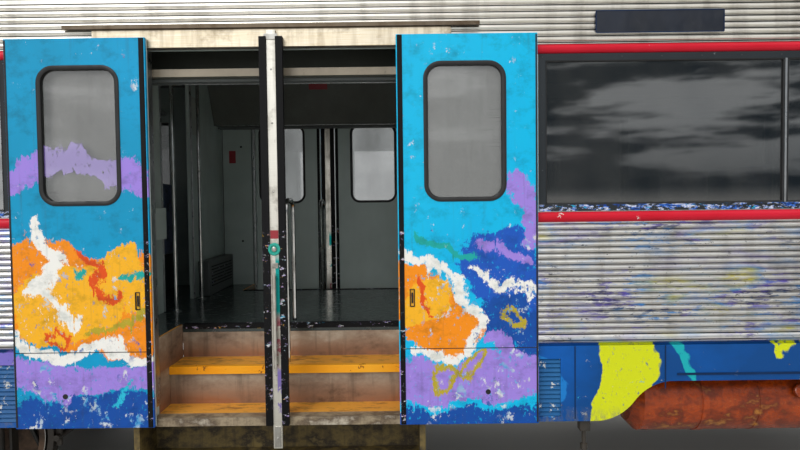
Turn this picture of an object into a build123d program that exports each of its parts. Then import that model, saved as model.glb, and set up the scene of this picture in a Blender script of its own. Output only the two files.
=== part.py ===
from build123d import *
import math
import os

# A broad-gauge railcar of fluted stainless steel, at full size, in millimetres.
# X runs along the car with the cab towards +X, the near side is -Y, Z is up.
# The origin is under the middle of the car, level with the tips of the wheel flanges.

# Rail and running gear
rail_top = 30
tread_radius = 430
axle_z = rail_top + tread_radius
flange_radius = axle_z
wheel_back_y = 797
wheel_width = 135
flange_width = 32
axle_radius = 85
journal_radius = 65
journal_end_y = 1110
hub_radius = 130
hub_overhang = 18
rim_depth = 70
web_thickness = 46
web_fillet = 60
flange_tip = 10
tread_taper = 4
wheelbase = 2500

# Body envelope
body_half_length = 12700
skin_y = 1500
wall = 80
lining_y = skin_y - wall
cab_length = 1300
cab_joint_x = body_half_length - cab_length
bogie_inset = 3250
bogie_x = body_half_length - bogie_inset
buffer_reach = 360

# Heights
floor_top = rail_top + 1280
floor_thickness = 60
panel_bottom = rail_top + 1235
waist = rail_top + 2115
window_head = rail_top + 3224
cantrail = rail_top + 3550
roof_top = rail_top + 4030
headroom = 2240
ceiling_thickness = 20

# Doorways
door_share = 0.4614
door_x = round(door_share * body_half_length)
jamb = 840
zone_half = 1745
rail_bottom = rail_top + 705
rail_height = 55
rail_outer_y = 1522
groove_y = 1511
groove_width = 10
groove_depth = 25
joint_gap = 1
seat_gap = 0.3

# Door leaves
leaf_width = 920
leaf_height = 2565
leaf_bottom = rail_top + 717
leaf_inner_y = 1530
leaf_thickness = 38
leaf_open_lead = 815
leaf_closed_lead = 82
pane_margin_lead = 180
pane_width = 530
pane_height = 904
pane_margin_top = 180
pane_corner = 110
pane_thickness = 8
slot_margin = 90
slot_width = 33
slot_height = 120
slot_rise = 785
slot_depth = 8
shoe_length = 60
shoe_thickness = 9
shoe_margin = 120
shoe_lift = 6
shoe_arm = 8

# Centre post
post_width = 60
post_outer_y = 1550
post_bottom = rail_top + 560
post_drop = 20
post_seal_width = 47
post_seal_inner_y = 1526
post_seal_outer_y = 1564
handle_radius = 11
handle_flats = 12
handle_foot = 8
handle_inset = 20
handle_y = 1590
handle_bottom = rail_top + 1108
handle_top = rail_top + 1728

# Header over a doorway
lintel_length = 2360
lintel_height = 121
gutter_length = 2730
gutter_height = 27
gutter_reach = 30
gutter_wall = 4

# Flutes and mouldings
flute_rise = 12
flute_width = 27
flute_flats = 4
side_pitch = 39
side_flutes = 19
side_flute_start = rail_top + 1300
letter_pitch = 41
letter_flutes = 7
letter_flute_start = window_head + 16
sill_bead_height = 61
sill_bead_rise = 18
red_height_low = 68
red_height_high = 64
red_rise = 25

# Windows
end_windows = 3
middle_windows = 5
cab_windows = 2
window_pitch = 2 * (door_x - zone_half) / middle_windows
band_outer_y = 1490
frame_gap = 22
frame_height = 1040
frame_border = 46
mullion_width = 24
frame_thickness = 14
frame_base = waist + 5
rebate = 20
glass_thickness = 8

# Skirts
skirt_top = rail_top + 1215
skirt_deep = rail_top + 703
skirt_shallow = rail_top + 970
skirt_thickness = 25
skirt_flange = 65
curve_start = 2130
curve_end = 2660
louvre_width = 145
louvre_height = 390
louvre_bottom = rail_top + 738
louvre_margin = 8
louvre_slats = 13
louvre_web = 6
louvre_lip = 22
louvre_drip = 3

# Stairs
first_tread = rail_top + 1031
second_tread = rail_bottom + rail_height
third_tread = rail_top + 440
tread_thickness = 30
stair_back_y = 930
stair_mid_y = 1210
nosing = 20
riser_thickness = 20
cheek_thickness = 20
plate_gap = 0.5
hanging_half = 985
hanging_side = 40
hanging_back_y = 1200
hanging_plate = 15

# Underframe
beam_depth = 200
sill_inner_y = 250
sill_outer_y = 400
solebar_y = 1300
solebar_depth = 120
headstock_length = 150
headstock_half = 1350
headstock_depth = 320
pivot_radius = 80
pivot_clearance = 0.08

near = Plane.XZ
doorways = (-door_x, door_x)

# Each ribbon of windows: start and end of its wall, start of its windows, how many windows
ribbons = (
    (-body_half_length, -door_x - zone_half, -door_x - zone_half - end_windows * window_pitch, end_windows),
    (-door_x + zone_half, door_x - zone_half, -door_x + zone_half, middle_windows),
    (door_x + zone_half, cab_joint_x, door_x + zone_half, cab_windows),
)

os.makedirs("parts", exist_ok=True)


def block(x, y, z, mode=Mode.ADD):
    """A plain plate or beam between two values on each axis."""
    with Locations(((x[0] + x[1]) / 2, (y[0] + y[1]) / 2, (z[0] + z[1]) / 2)):
        Box(abs(x[1] - x[0]), abs(y[1] - y[0]), abs(z[1] - z[0]), mode=mode)


def save(piece, name):
    """Label one finished piece and write its file."""
    piece.part.label = name
    export_step(piece.part, f"parts/{name}.step")


def window_centres(ribbon):
    """The middle of each window of one ribbon, along the car."""
    return [ribbon[2] + (i + 0.5) * window_pitch for i in range(ribbon[3])]


def clear_edges(ribbon, i):
    """Where the clear glass of one window of a ribbon starts and ends."""
    low = ribbon[2] + i * window_pitch + mullion_width / 2
    high = low + window_pitch - mullion_width
    if i == 0:
        low = ribbon[2] + frame_gap / 2 + frame_border
    if i == ribbon[3] - 1:
        high = ribbon[2] + ribbon[3] * window_pitch - frame_gap / 2 - frame_border
    return low, high


def bead(z_low, height, rise, base_y):
    """A half-round bead standing out from the skin, drawn upwards."""
    ThreePointArc((-base_y, z_low), (-base_y - rise, z_low + height / 2), (-base_y, z_low + height))


def flute(z_low):
    """One rib of the rolled sheet, drawn upwards in a few flats round half an ellipse."""
    turns = [math.pi * k / flute_flats for k in range(flute_flats + 1)]
    Polyline(
        [
            (-skin_y - flute_rise * math.sin(turn), z_low + flute_width * (1 - math.cos(turn)) / 2)
            for turn in turns
        ]
    )


def fluted_section(z_low, z_high, start, count, pitch, sill_bead):
    """The section of a wall whose outside carries a row of half-round flutes."""
    with BuildLine() as outline:
        Line((-lining_y, z_high), (-lining_y, z_low))
        Line((-lining_y, z_low), (-skin_y, z_low))
        z = z_low
        if sill_bead:
            bead(z_low, sill_bead_height, sill_bead_rise, skin_y)
            z = z_low + sill_bead_height
        for i in range(count):
            crest = start + i * pitch
            Line((-skin_y, z), (-skin_y, crest))
            flute(crest)
            z = crest + flute_width
        Line((-skin_y, z), (-skin_y, z_high))
        Line((-skin_y, z_high), (-lining_y, z_high))
    make_face(outline.edges())


# Side panels: fluted walls below the windows, and plain walls behind the open leaves
with BuildPart() as side_panels:
    for ribbon in ribbons:
        with BuildSketch(Plane.YZ.offset(ribbon[0])):
            fluted_section(panel_bottom, waist, side_flute_start, side_flutes, side_pitch, True)
        extrude(amount=ribbon[1] - ribbon[0])
    for x in doorways:
        for hand in (-1, 1):
            block(
                (x + hand * jamb, x + hand * (zone_half - joint_gap)),
                (-skin_y, -lining_y),
                (rail_bottom + rail_height, window_head),
            )
    mirror(about=Plane.XZ)
save(side_panels, "side_panels")

# Fluted letterboards above the windows and doors, the whole length of the saloons
with BuildPart() as letterboards:
    with BuildSketch(Plane.YZ.offset(-body_half_length)):
        fluted_section(window_head, cantrail, letter_flute_start, letter_flutes, letter_pitch, False)
    extrude(amount=cab_joint_x + body_half_length)
    mirror(about=Plane.XZ)
save(letterboards, "letterboards")

# Window bands: the wall between waist and letterboard, with a hole for each window
# and a shallow rebate right along the ribbon, so that the glass passes in front of the pillars
pillar_hole = window_pitch - frame_gap - 2 * frame_border + 2 * rebate
clear_height = frame_height - 2 * frame_border
glass_height = clear_height + 2 * rebate
frame_middle = frame_base + frame_height / 2
glass_inner_y = band_outer_y - glass_thickness
with BuildPart() as window_bands:
    for ribbon in ribbons:
        run = ribbon[3] * window_pitch
        middle = ((ribbon[0] + ribbon[1]) / 2, (waist + window_head) / 2)
        pane_centres = [(x, frame_middle) for x in window_centres(ribbon)]
        with BuildSketch(near.offset(lining_y)):
            with Locations(middle):
                Rectangle(ribbon[1] - ribbon[0], window_head - waist)
            with Locations(pane_centres):
                Rectangle(pillar_hole, glass_height, mode=Mode.SUBTRACT)
        extrude(amount=glass_inner_y - seat_gap - lining_y)
        with BuildSketch(near.offset(glass_inner_y - seat_gap)):
            with Locations(middle):
                Rectangle(ribbon[1] - ribbon[0], window_head - waist)
            with Locations((ribbon[2] + run / 2, frame_middle)):
                Rectangle(run - frame_gap - 2 * frame_border + 2 * rebate, glass_height, mode=Mode.SUBTRACT)
        extrude(amount=glass_thickness + seat_gap)
    mirror(about=Plane.XZ)
save(window_bands, "window_bands")

# One flat frame to a ribbon, screwed over the edges of the glass, with slim mullions
with BuildPart() as window_frames:
    for ribbon in ribbons:
        run = ribbon[3] * window_pitch
        with BuildSketch(near.offset(band_outer_y)):
            with Locations((ribbon[2] + run / 2, frame_middle)):
                Rectangle(run - frame_gap, frame_height)
            for i in range(ribbon[3]):
                low, high = clear_edges(ribbon, i)
                with Locations(((low + high) / 2, frame_middle)):
                    Rectangle(high - low, clear_height, mode=Mode.SUBTRACT)
        extrude(amount=frame_thickness)
    mirror(about=Plane.XZ)
save(window_frames, "window_frames")

# Panes that meet behind the mullions
with BuildPart() as window_glass:
    for ribbon in ribbons:
        for i in range(ribbon[3]):
            low, high = clear_edges(ribbon, i)
            low -= rebate if i == 0 else mullion_width / 2 - joint_gap
            high += rebate if i == ribbon[3] - 1 else mullion_width / 2 - joint_gap
            block(
                (low + seat_gap, high - seat_gap),
                (-band_outer_y, -glass_inner_y),
                (frame_middle - glass_height / 2 + seat_gap, frame_middle + glass_height / 2 - seat_gap),
            )
    mirror(about=Plane.XZ)
save(window_glass, "window_glass")

# Painted half-round mouldings below and above the windows
# Columns: lowest edge, height, face that it is fixed to
moulding_rows = (
    (waist - red_height_low, red_height_low, skin_y),
    (window_head - red_height_high, red_height_high, band_outer_y),
)
with BuildPart() as red_mouldings:
    for ribbon in ribbons:
        for z_low, height, base_y in moulding_rows:
            with BuildSketch(Plane.YZ.offset(ribbon[0])):
                with BuildLine():
                    bead(z_low, height, red_rise, base_y)
                    Line((-base_y, z_low + height), (-base_y, z_low))
                make_face()
            extrude(amount=ribbon[1] - ribbon[0])
    mirror(about=Plane.XZ)
save(red_mouldings, "red_mouldings")


def skirt_outline(x_deep, x_far, hand):
    """The outline of a skirt that is deep beside a doorway and rises in an S curve to its shallow run."""
    door = x_deep - hand * zone_half
    run_in = door + hand * curve_start
    run_out = door + hand * curve_end
    middle = ((run_in + run_out) / 2, (skirt_deep + skirt_shallow) / 2)
    Line((x_deep, skirt_top), (x_deep, skirt_deep))
    Line((x_deep, skirt_deep), (run_in, skirt_deep))
    TangentArc((run_in, skirt_deep), middle, tangent=(hand, 0))
    TangentArc((run_out, skirt_shallow), middle, tangent=(-hand, 0))
    Line((run_out, skirt_shallow), (x_far, skirt_shallow))
    Line((x_far, skirt_shallow), (x_far, skirt_top))
    Line((x_far, skirt_top), (x_deep, skirt_top))


# Each skirt half-run: its end at the doorway, its far end, and the way it runs
skirt_runs = (
    (-door_x - zone_half, -body_half_length, -1),
    (-door_x + zone_half, 0, 1),
    (door_x - zone_half, 0, -1),
    (door_x + zone_half, cab_joint_x, 1),
)
with BuildPart() as skirts:
    for x_deep, x_far, hand in skirt_runs:
        with BuildSketch(near.offset(skin_y - skirt_thickness)):
            with BuildLine():
                skirt_outline(x_deep, x_far, hand)
            make_face()
            with Locations(
                (
                    x_deep + hand * (louvre_margin + louvre_width / 2),
                    louvre_bottom + louvre_height / 2,
                )
            ):
                Rectangle(louvre_width, louvre_height, mode=Mode.SUBTRACT)
        extrude(amount=skirt_thickness)
        block(
            (x_deep, x_far),
            (-skin_y + 2 * skirt_thickness, -skin_y + skirt_thickness),
            (panel_bottom - skirt_flange, panel_bottom),
        )
    mirror(about=Plane.XZ)
save(skirts, "skirts")

# Louvres beside the doorways: one pressed plate each, its slats drawn as a saw-tooth section
with BuildPart() as louvres:
    pitch = (louvre_height - 2 * seat_gap) / louvre_slats
    for x_deep, x_far, hand in skirt_runs:
        centre = x_deep + hand * (louvre_margin + louvre_width / 2)
        width = louvre_width - 2 * seat_gap
        base_y = skin_y - skirt_thickness
        with BuildSketch(Plane.YZ.offset(centre - width / 2)):
            with BuildLine():
                z = louvre_bottom + seat_gap
                top = z + louvre_slats * pitch
                Line((-base_y, top), (-base_y, z))
                Line((-base_y, z), (-base_y - louvre_web, z))
                for i in range(louvre_slats):
                    low = z + i * pitch
                    tip = (-base_y - louvre_lip, low + louvre_drip)
                    Line((-base_y - louvre_web, low), tip)
                    Line(tip, (-base_y - louvre_web, low + pitch))
                Line((-base_y - louvre_web, top), (-base_y, top))
            make_face()
        extrude(amount=width)
    mirror(about=Plane.XZ)
save(louvres, "louvres")

# Headers: a plain lintel plate in front of the flutes, with a rain gutter above it
lintel_inner_y = skin_y + flute_rise + seat_gap
lintel_top = window_head + lintel_height
with BuildPart() as door_headers:
    for x in doorways:
        block(
            (x - lintel_length / 2, x + lintel_length / 2),
            (-rail_outer_y, -lintel_inner_y),
            (window_head, lintel_top),
        )
        with BuildSketch(Plane.YZ.offset(x - gutter_length / 2)):
            with BuildLine():
                Polyline(
                    (-lintel_inner_y, lintel_top),
                    (-lintel_inner_y - gutter_reach, lintel_top),
                    (-lintel_inner_y - gutter_reach, lintel_top + gutter_height),
                    (-lintel_inner_y - gutter_reach + gutter_wall, lintel_top + gutter_height),
                    (-lintel_inner_y - gutter_reach + gutter_wall, lintel_top + gutter_wall),
                    (-lintel_inner_y - gutter_wall, lintel_top + gutter_wall),
                    (-lintel_inner_y - gutter_wall, lintel_top + gutter_height),
                    (-lintel_inner_y, lintel_top + gutter_height),
                    close=True,
                )
            make_face()
        extrude(amount=gutter_length)
    mirror(about=Plane.XZ)
save(door_headers, "door_headers")

# Centre posts, each with its round grab handle on two stand-offs
with BuildPart() as door_posts:
    for x in doorways:
        block(
            (x - post_width / 2, x + post_width / 2),
            (-post_outer_y, -rail_outer_y),
            (post_bottom, lintel_top - post_drop),
        )
        with BuildSketch(Plane.XY.offset(handle_bottom)):
            with Locations((x, -handle_y)):
                RegularPolygon(handle_radius, handle_flats)
        extrude(amount=handle_top - handle_bottom)
        for z in (handle_bottom + handle_inset, handle_top - handle_inset):
            block(
                (x - handle_foot, x + handle_foot),
                (-handle_y, -post_outer_y),
                (z - handle_foot, z + handle_foot),
            )
    mirror(about=Plane.XZ)
save(door_posts, "door_posts")

# Rubber strips down both sides of each post, that the closed leaves come up to
with BuildPart() as post_seals:
    for x in doorways:
        for hand in (-1, 1):
            block(
                (x + hand * post_width / 2, x + hand * (post_width / 2 + post_seal_width)),
                (-post_seal_outer_y, -post_seal_inner_y),
                (leaf_bottom, leaf_bottom + leaf_height),
            )
    mirror(about=Plane.XZ)
save(post_seals, "post_seals")

# Guide rails under the leaves, with the groove that their shoes run in
with BuildPart() as guide_rails:
    for x in doorways:
        rail_z = (rail_bottom, rail_bottom + rail_height)
        block((x - zone_half, x + zone_half), (-rail_outer_y, -lining_y), rail_z)
        block(
            (x - zone_half, x + zone_half),
            (-groove_y - groove_width / 2, -groove_y + groove_width / 2),
            (rail_z[1] - groove_depth, rail_z[1]),
            mode=Mode.SUBTRACT,
        )
    mirror(about=Plane.XZ)
save(guide_rails, "guide_rails")

# Stairs: two treads, two risers and two cheeks to each doorway, as plates that almost touch
tread_half = jamb - plate_gap
with BuildPart() as stairs:
    for x in doorways:
        tread_x = (x - tread_half, x + tread_half)
        block(
            tread_x,
            (-stair_mid_y - nosing, -stair_back_y - plate_gap),
            (first_tread - tread_thickness, first_tread),
        )
        block(
            tread_x,
            (-lining_y, -stair_mid_y - plate_gap),
            (second_tread - tread_thickness, second_tread),
        )
        block(
            tread_x,
            (-stair_back_y, -stair_back_y + riser_thickness),
            (first_tread - tread_thickness, floor_top - floor_thickness),
        )
        block(
            tread_x,
            (-stair_mid_y, -stair_mid_y + riser_thickness),
            (rail_bottom, first_tread - tread_thickness - plate_gap),
        )
        for hand in (-1, 1):
            block(
                (x + hand * jamb, x + hand * (jamb + cheek_thickness)),
                (-lining_y, -stair_back_y),
                (rail_bottom, floor_top),
            )
    mirror(about=Plane.XZ)
save(stairs, "stairs")

# Hanging third steps: an open box below each doorway
with BuildPart() as hanging_steps:
    for x in doorways:
        step_z = (third_tread - tread_thickness, rail_bottom)
        for hand in (-1, 1):
            block(
                (x + hand * (hanging_half - hanging_side), x + hand * hanging_half),
                (-skin_y, -hanging_back_y),
                step_z,
            )
        block(
            (x - hanging_half + hanging_side, x + hanging_half - hanging_side),
            (-hanging_back_y - hanging_plate, -hanging_back_y),
            step_z,
        )
        block(
            (x - hanging_half + hanging_side, x + hanging_half - hanging_side),
            (-skin_y, -hanging_back_y - hanging_plate),
            (third_tread - tread_thickness, third_tread),
        )
    mirror(about=Plane.XZ)
save(hanging_steps, "hanging_steps")

# Floors: wide plates in the saloons and cab, narrow ones between the stairs
well = jamb + cheek_thickness + plate_gap
floor_z = (floor_top - floor_thickness, floor_top)
cab_floor_inset = 400
floor_runs = (
    (-body_half_length, -door_x - well),
    (-door_x + well, door_x - well),
    (door_x + well, body_half_length - cab_floor_inset),
)
with BuildPart() as floors:
    for run in floor_runs:
        block(run, (-lining_y, lining_y), floor_z)
    for x in doorways:
        block((x - well + plate_gap, x + well - plate_gap), (-stair_back_y, stair_back_y), floor_z)
save(floors, "floors")

# Roof: a shell of two shoulder arcs and one flat crown arc
shoulder_radius = 350
roof_shell = 50
shoulder_y = skin_y - shoulder_radius
roof_rise = roof_top - cantrail
crown_radius = (shoulder_y**2 + roof_rise**2 - shoulder_radius**2) / (2 * (roof_rise - shoulder_radius))
crown_z = roof_top - crown_radius
lean = math.atan2(shoulder_y, cantrail - crown_z)


def arch(inset):
    """The area under the roof's arc, moved inwards by inset and closed along the cantrails."""
    shoulder = shoulder_radius - inset
    crown = crown_radius - inset
    half = skin_y - inset
    turn = (math.pi / 2 - lean) / 2
    touch = (crown * math.sin(lean), crown_z + crown * math.cos(lean))
    knee = (shoulder_y + shoulder * math.cos(turn), cantrail + shoulder * math.sin(turn))
    with BuildLine() as outline:
        Line((-half, cantrail), (half, cantrail))
        ThreePointArc((half, cantrail), knee, touch)
        ThreePointArc(touch, (0, crown_z + crown), (-touch[0], touch[1]))
        ThreePointArc((-touch[0], touch[1]), (-knee[0], knee[1]), (-half, cantrail))
    make_face(outline.edges())


# Ribs pressed along the roof, outside the cooler housings
rib_first_y = 760
rib_pitch = 95
rib_count = 5
rib_width = 26
rib_rise = 10
with BuildPart() as roof:
    with BuildSketch(Plane.YZ.offset(-body_half_length)):
        arch(0)
        for y in [side * (rib_first_y + i * rib_pitch) for side in (-1, 1) for i in range(rib_count)]:
            slope = math.degrees(math.asin(y / crown_radius))
            with Locations((y, crown_z + math.sqrt(crown_radius**2 - y**2))):
                Rectangle(rib_width, 2 * rib_rise, rotation=-slope)
    extrude(amount=cab_joint_x + body_half_length)
    with BuildSketch(Plane.YZ.offset(-body_half_length)):
        arch(roof_shell)
    extrude(amount=cab_joint_x + body_half_length, mode=Mode.SUBTRACT)
save(roof, "roof")

# Ceiling between the letterboards, and a folded casing for the door gear over each doorway:
# it slopes down from the ceiling, runs level over the stairs and turns up in a lip
end_wall_thickness = 60
ceiling_z = floor_top + headroom
partition_offset = 1210
partition_thickness = 40
casing_half = partition_offset - partition_thickness / 2 - plate_gap
casing_sheet = 15
casing_bottom = rail_top + 3053
casing_low_y = 1160
casing_high_y = 914
casing_lip = 53
casing_top = ceiling_z - plate_gap
casing_slope = (casing_low_y - casing_high_y) / (casing_top - casing_bottom)
slope_sheet = casing_sheet * math.hypot(1, casing_slope)
casing_inner_y = casing_low_y - casing_sheet * casing_slope + slope_sheet
with BuildPart() as ceiling:
    block(
        (-body_half_length + end_wall_thickness, cab_joint_x),
        (-lining_y, lining_y),
        (ceiling_z, ceiling_z + ceiling_thickness),
    )
    for x in doorways:
        with BuildSketch(Plane.YZ.offset(x - casing_half)):
            with BuildLine():
                Polyline(
                    (-casing_high_y, casing_top),
                    (-casing_low_y, casing_bottom),
                    (-lining_y, casing_bottom),
                    (-lining_y, casing_bottom + casing_lip),
                    (-lining_y + casing_sheet, casing_bottom + casing_lip),
                    (-lining_y + casing_sheet, casing_bottom + casing_sheet),
                    (-casing_inner_y, casing_bottom + casing_sheet),
                    (-casing_high_y - slope_sheet, casing_top),
                    close=True,
                )
            make_face()
        extrude(amount=2 * casing_half)
    mirror(about=Plane.XZ)
save(ceiling, "ceiling")

# Partitions beside the vestibules, open at the aisle, and the wall behind the cab
aisle_half = 380
cab_wall_x = cab_joint_x - 400
with BuildPart() as partitions:
    for x in doorways:
        for hand in (-1, 1):
            at = x + hand * partition_offset
            block(
                (at - partition_thickness / 2, at + partition_thickness / 2),
                (-lining_y, -aisle_half),
                (floor_top, ceiling_z),
            )
    mirror(about=Plane.XZ)
    block((cab_wall_x, cab_wall_x + partition_thickness), (-lining_y, lining_y), (floor_top, ceiling_z))
save(partitions, "partitions")

# Seats: facing benches in each window bay, the backs standing at the mullions
seat_width = 930
seat_clearance = 10
seat_inner_y = lining_y - seat_clearance - seat_width
cushion_depth = 470
cushion_height = 80
cushion_top = floor_top + 450
back_base = 110
back_head = 70
back_top = floor_top + 1150
back_bottom = cushion_top - cushion_height
cushion_roll = 30
pedestal_depth = 300
pedestal_inset = 150
driver_x = cab_joint_x - 50
driver_y = -450
driver_width = 480
driver_pedestal = 160


def cushion(x_back, hand, y, width):
    """A seat cushion that starts at its back and is eased along its front edge."""
    front = x_back + hand * cushion_depth
    with BuildSketch(near.offset(-y - width)) as section:
        with BuildLine():
            Polyline(
                (x_back, cushion_top),
                (x_back, back_bottom),
                (front, back_bottom),
                (front, cushion_top - cushion_roll),
                (front - hand * cushion_roll, cushion_top),
                close=True,
            )
        make_face()
    extrude(section.sketch, amount=width)


def seat_back(x, y, width):
    """A back that tapers upwards."""
    with BuildSketch(near.offset(-y - width)) as section:
        with BuildLine():
            Polyline(
                (x - back_base / 2, back_bottom),
                (x + back_base / 2, back_bottom),
                (x + back_head / 2, back_top),
                (x - back_head / 2, back_top),
                close=True,
            )
        make_face()
    extrude(section.sketch, amount=width)


bench_y = (seat_inner_y, -seat_inner_y - seat_width)
with BuildPart() as seats:
    for ribbon in ribbons:
        for y in bench_y:
            for i in range(ribbon[3] + 1):
                at = ribbon[2] + i * window_pitch
                seat_back(at, y, seat_width)
                if i < ribbon[3]:
                    cushion(at + back_base / 2 + plate_gap, 1, y, seat_width)
                if i > 0:
                    cushion(at - back_base / 2 - plate_gap, -1, y, seat_width)
    seat_back(driver_x, driver_y - driver_width / 2, driver_width)
    cushion(driver_x + back_base / 2 + plate_gap, 1, driver_y - driver_width / 2, driver_width)
save(seats, "seats")

# Pedestals: one under each back and its cushions
with BuildPart() as seat_pedestals:
    for ribbon in ribbons:
        for y in bench_y:
            for i in range(ribbon[3] + 1):
                at = ribbon[2] + i * window_pitch
                low = at - pedestal_depth if i > 0 else at - back_base / 2
                high = at + pedestal_depth if i < ribbon[3] else at + back_base / 2
                across = (y + pedestal_inset, y + seat_width - pedestal_inset)
                block((low, high), across, (floor_top, back_bottom))
    block(
        (driver_x, driver_x + pedestal_depth),
        (driver_y - driver_pedestal / 2, driver_y + driver_pedestal / 2),
        (floor_top, back_bottom),
    )
save(seat_pedestals, "seat_pedestals")

# Luggage racks along the windows
rack_depth = 320
rack_z = floor_top + 1930
rack_thickness = 25
rack_tilt = 20
rack_inset = 60
with BuildPart() as luggage_racks:
    for ribbon in ribbons:
        first = ribbon[2] + rack_inset
        last = ribbon[2] + ribbon[3] * window_pitch - rack_inset
        with BuildSketch(Plane.YZ.offset(first)):
            with BuildLine():
                Polyline(
                    (-lining_y, rack_z),
                    (-lining_y + rack_depth, rack_z + rack_tilt),
                    (-lining_y + rack_depth, rack_z + rack_tilt + rack_thickness),
                    (-lining_y, rack_z + rack_thickness),
                    close=True,
                )
            make_face()
        extrude(amount=last - first)
    mirror(about=Plane.XZ)
save(luggage_racks, "luggage_racks")

# Stair handrails: an inverted U of tube behind each post, one leg on the floor and one on the upper tread
tube_radius = 16
tube_flats = 8
tube_bend = 90
tube_top = rail_top + 2220
inner_leg_y = 830
outer_leg_y = 1120
with BuildPart() as handrails:
    for x in doorways:
        with BuildLine(Plane.YZ.offset(x)) as path:
            FilletPolyline(
                (-outer_leg_y, first_tread),
                (-outer_leg_y, tube_top),
                (-inner_leg_y, tube_top),
                (-inner_leg_y, floor_top),
                radius=tube_bend,
            )
        with BuildSketch(Plane.XY.offset(first_tread)) as tube_end:
            with Locations((x, -outer_leg_y)):
                RegularPolygon(tube_radius, tube_flats)
        sweep(tube_end.sketch, path=path.wire())
    mirror(about=Plane.XZ)
save(handrails, "handrails")

# Cab: a hollow nose, upright below and raked above, with rounded corners
cab_shell = 60
cab_corner = 350
plan_overlap = 100
rake_z = rail_top + 2080
rake_run = 300
brow_z = rail_top + 3480
brow_run = 900


def nose(inset):
    """The solid inside the cab's outside, moved inwards by inset."""
    front = body_half_length - inset
    top_z = roof_top - inset
    with BuildPart() as body:
        with BuildSketch(Plane.YZ.offset(cab_joint_x)):
            arch(inset)
            with Locations((0, (panel_bottom + cantrail) / 2)):
                Rectangle(2 * (skin_y - inset), cantrail - panel_bottom)
        extrude(amount=front - cab_joint_x)
        with BuildSketch(near.offset(-skin_y)):
            with BuildLine():
                Polyline(
                    (front - brow_run, top_z),
                    (cab_joint_x, top_z),
                    (cab_joint_x, panel_bottom),
                    (front, panel_bottom),
                    (front, rake_z),
                    (front - rake_run, brow_z),
                )
                TangentArc(
                    (front - rake_run, brow_z),
                    (front - brow_run, top_z),
                    tangent=(-rake_run, brow_z - rake_z),
                )
            make_face()
        extrude(amount=2 * skin_y, mode=Mode.INTERSECT)
        with BuildSketch(Plane.XY.offset(panel_bottom)):
            start = cab_joint_x - plan_overlap
            with Locations(((start + front - cab_corner) / 2, 0)):
                Rectangle(front - cab_corner - start, 2 * (skin_y - inset))
            with Locations((front - cab_corner, 0)):
                Rectangle(2 * cab_corner, 2 * (skin_y - cab_corner))
            for y in (cab_corner - skin_y, skin_y - cab_corner):
                with Locations((front - cab_corner, y)):
                    Circle(cab_corner - inset)
        extrude(amount=roof_top - panel_bottom, mode=Mode.INTERSECT)
    return body.part


rake = math.atan2(rake_run, brow_z - rake_z)
screen_centre = Vector(
    body_half_length - rake_run / 2,
    0,
    (rake_z + brow_z) / 2,
)
screen_plane = Plane(
    origin=screen_centre,
    x_dir=(0, 1, 0),
    z_dir=(math.cos(rake), 0, math.sin(rake)),
)
screen_width = 1000
screen_height = 980
screen_offset = 560
screen_cut = 300
light_corner = 60
glass_setback = 20
side_light_x = cab_joint_x + 600
side_light_width = 560
side_light_height = 700
side_light_z = rail_top + 2640
with BuildPart() as cab_front:
    add(nose(0))
    add(nose(cab_shell), mode=Mode.SUBTRACT)
    with BuildSketch(screen_plane.offset(-screen_cut / 2)):
        with Locations((-screen_offset, 0), (screen_offset, 0)):
            RectangleRounded(screen_width, screen_height, light_corner)
    extrude(amount=screen_cut, mode=Mode.SUBTRACT)
    with BuildSketch(near.offset(-skin_y)):
        with Locations((side_light_x, side_light_z)):
            RectangleRounded(side_light_width, side_light_height, light_corner)
    extrude(amount=2 * skin_y, mode=Mode.SUBTRACT)
save(cab_front, "cab_front")

# Cab glass: two windscreens and two side lights
with BuildPart() as cab_glass:
    with BuildSketch(screen_plane.offset(-glass_thickness - glass_setback)):
        with Locations((-screen_offset, 0), (screen_offset, 0)):
            RectangleRounded(screen_width - 2 * seat_gap, screen_height - 2 * seat_gap, light_corner)
    extrude(amount=glass_thickness)
    for y in (skin_y - glass_setback, -skin_y + glass_setback + glass_thickness):
        with BuildSketch(near.offset(-y)):
            with Locations((side_light_x, side_light_z)):
                RectangleRounded(
                    side_light_width - 2 * seat_gap,
                    side_light_height - 2 * seat_gap,
                    light_corner,
                )
        extrude(amount=glass_thickness)
save(cab_glass, "cab_glass")

# Headlamps: a pair of round lamps on each side of the front
lamp_z = rail_top + 1560
lamp_radius = 105
lamp_rim = 18
lamp_depth = 45
lamp_ys = (720, 980)
with BuildPart() as headlamps:
    for y in [side * lamp_y for side in (-1, 1) for lamp_y in lamp_ys]:
        with BuildSketch(Plane.XZ.offset(-y)):
            with BuildLine():
                Polyline(
                    (body_half_length, lamp_z),
                    (body_half_length, lamp_z + lamp_radius),
                    (body_half_length + lamp_depth - lamp_rim, lamp_z + lamp_radius),
                    (body_half_length + lamp_depth, lamp_z + lamp_radius - lamp_rim),
                    (body_half_length + lamp_depth, lamp_z),
                    close=True,
                )
            make_face()
        revolve(axis=Axis((body_half_length, y, lamp_z), (1, 0, 0)))
save(headlamps, "headlamps")

# Driving desk
desk_rear_x = cab_joint_x + 550
desk_half = 1150
# Columns: distance in front of the desk's rear edge, height above the floor
desk_outline = ((0, 0), (120, 700), (0, 740), (330, 860), (340, 0))
with BuildPart() as cab_desk:
    with BuildSketch(near.offset(-desk_half)):
        with BuildLine():
            Polyline([(desk_rear_x + ahead, floor_top + up) for ahead, up in desk_outline], close=True)
        make_face()
    extrude(amount=2 * desk_half)
save(cab_desk, "cab_desk")

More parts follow.
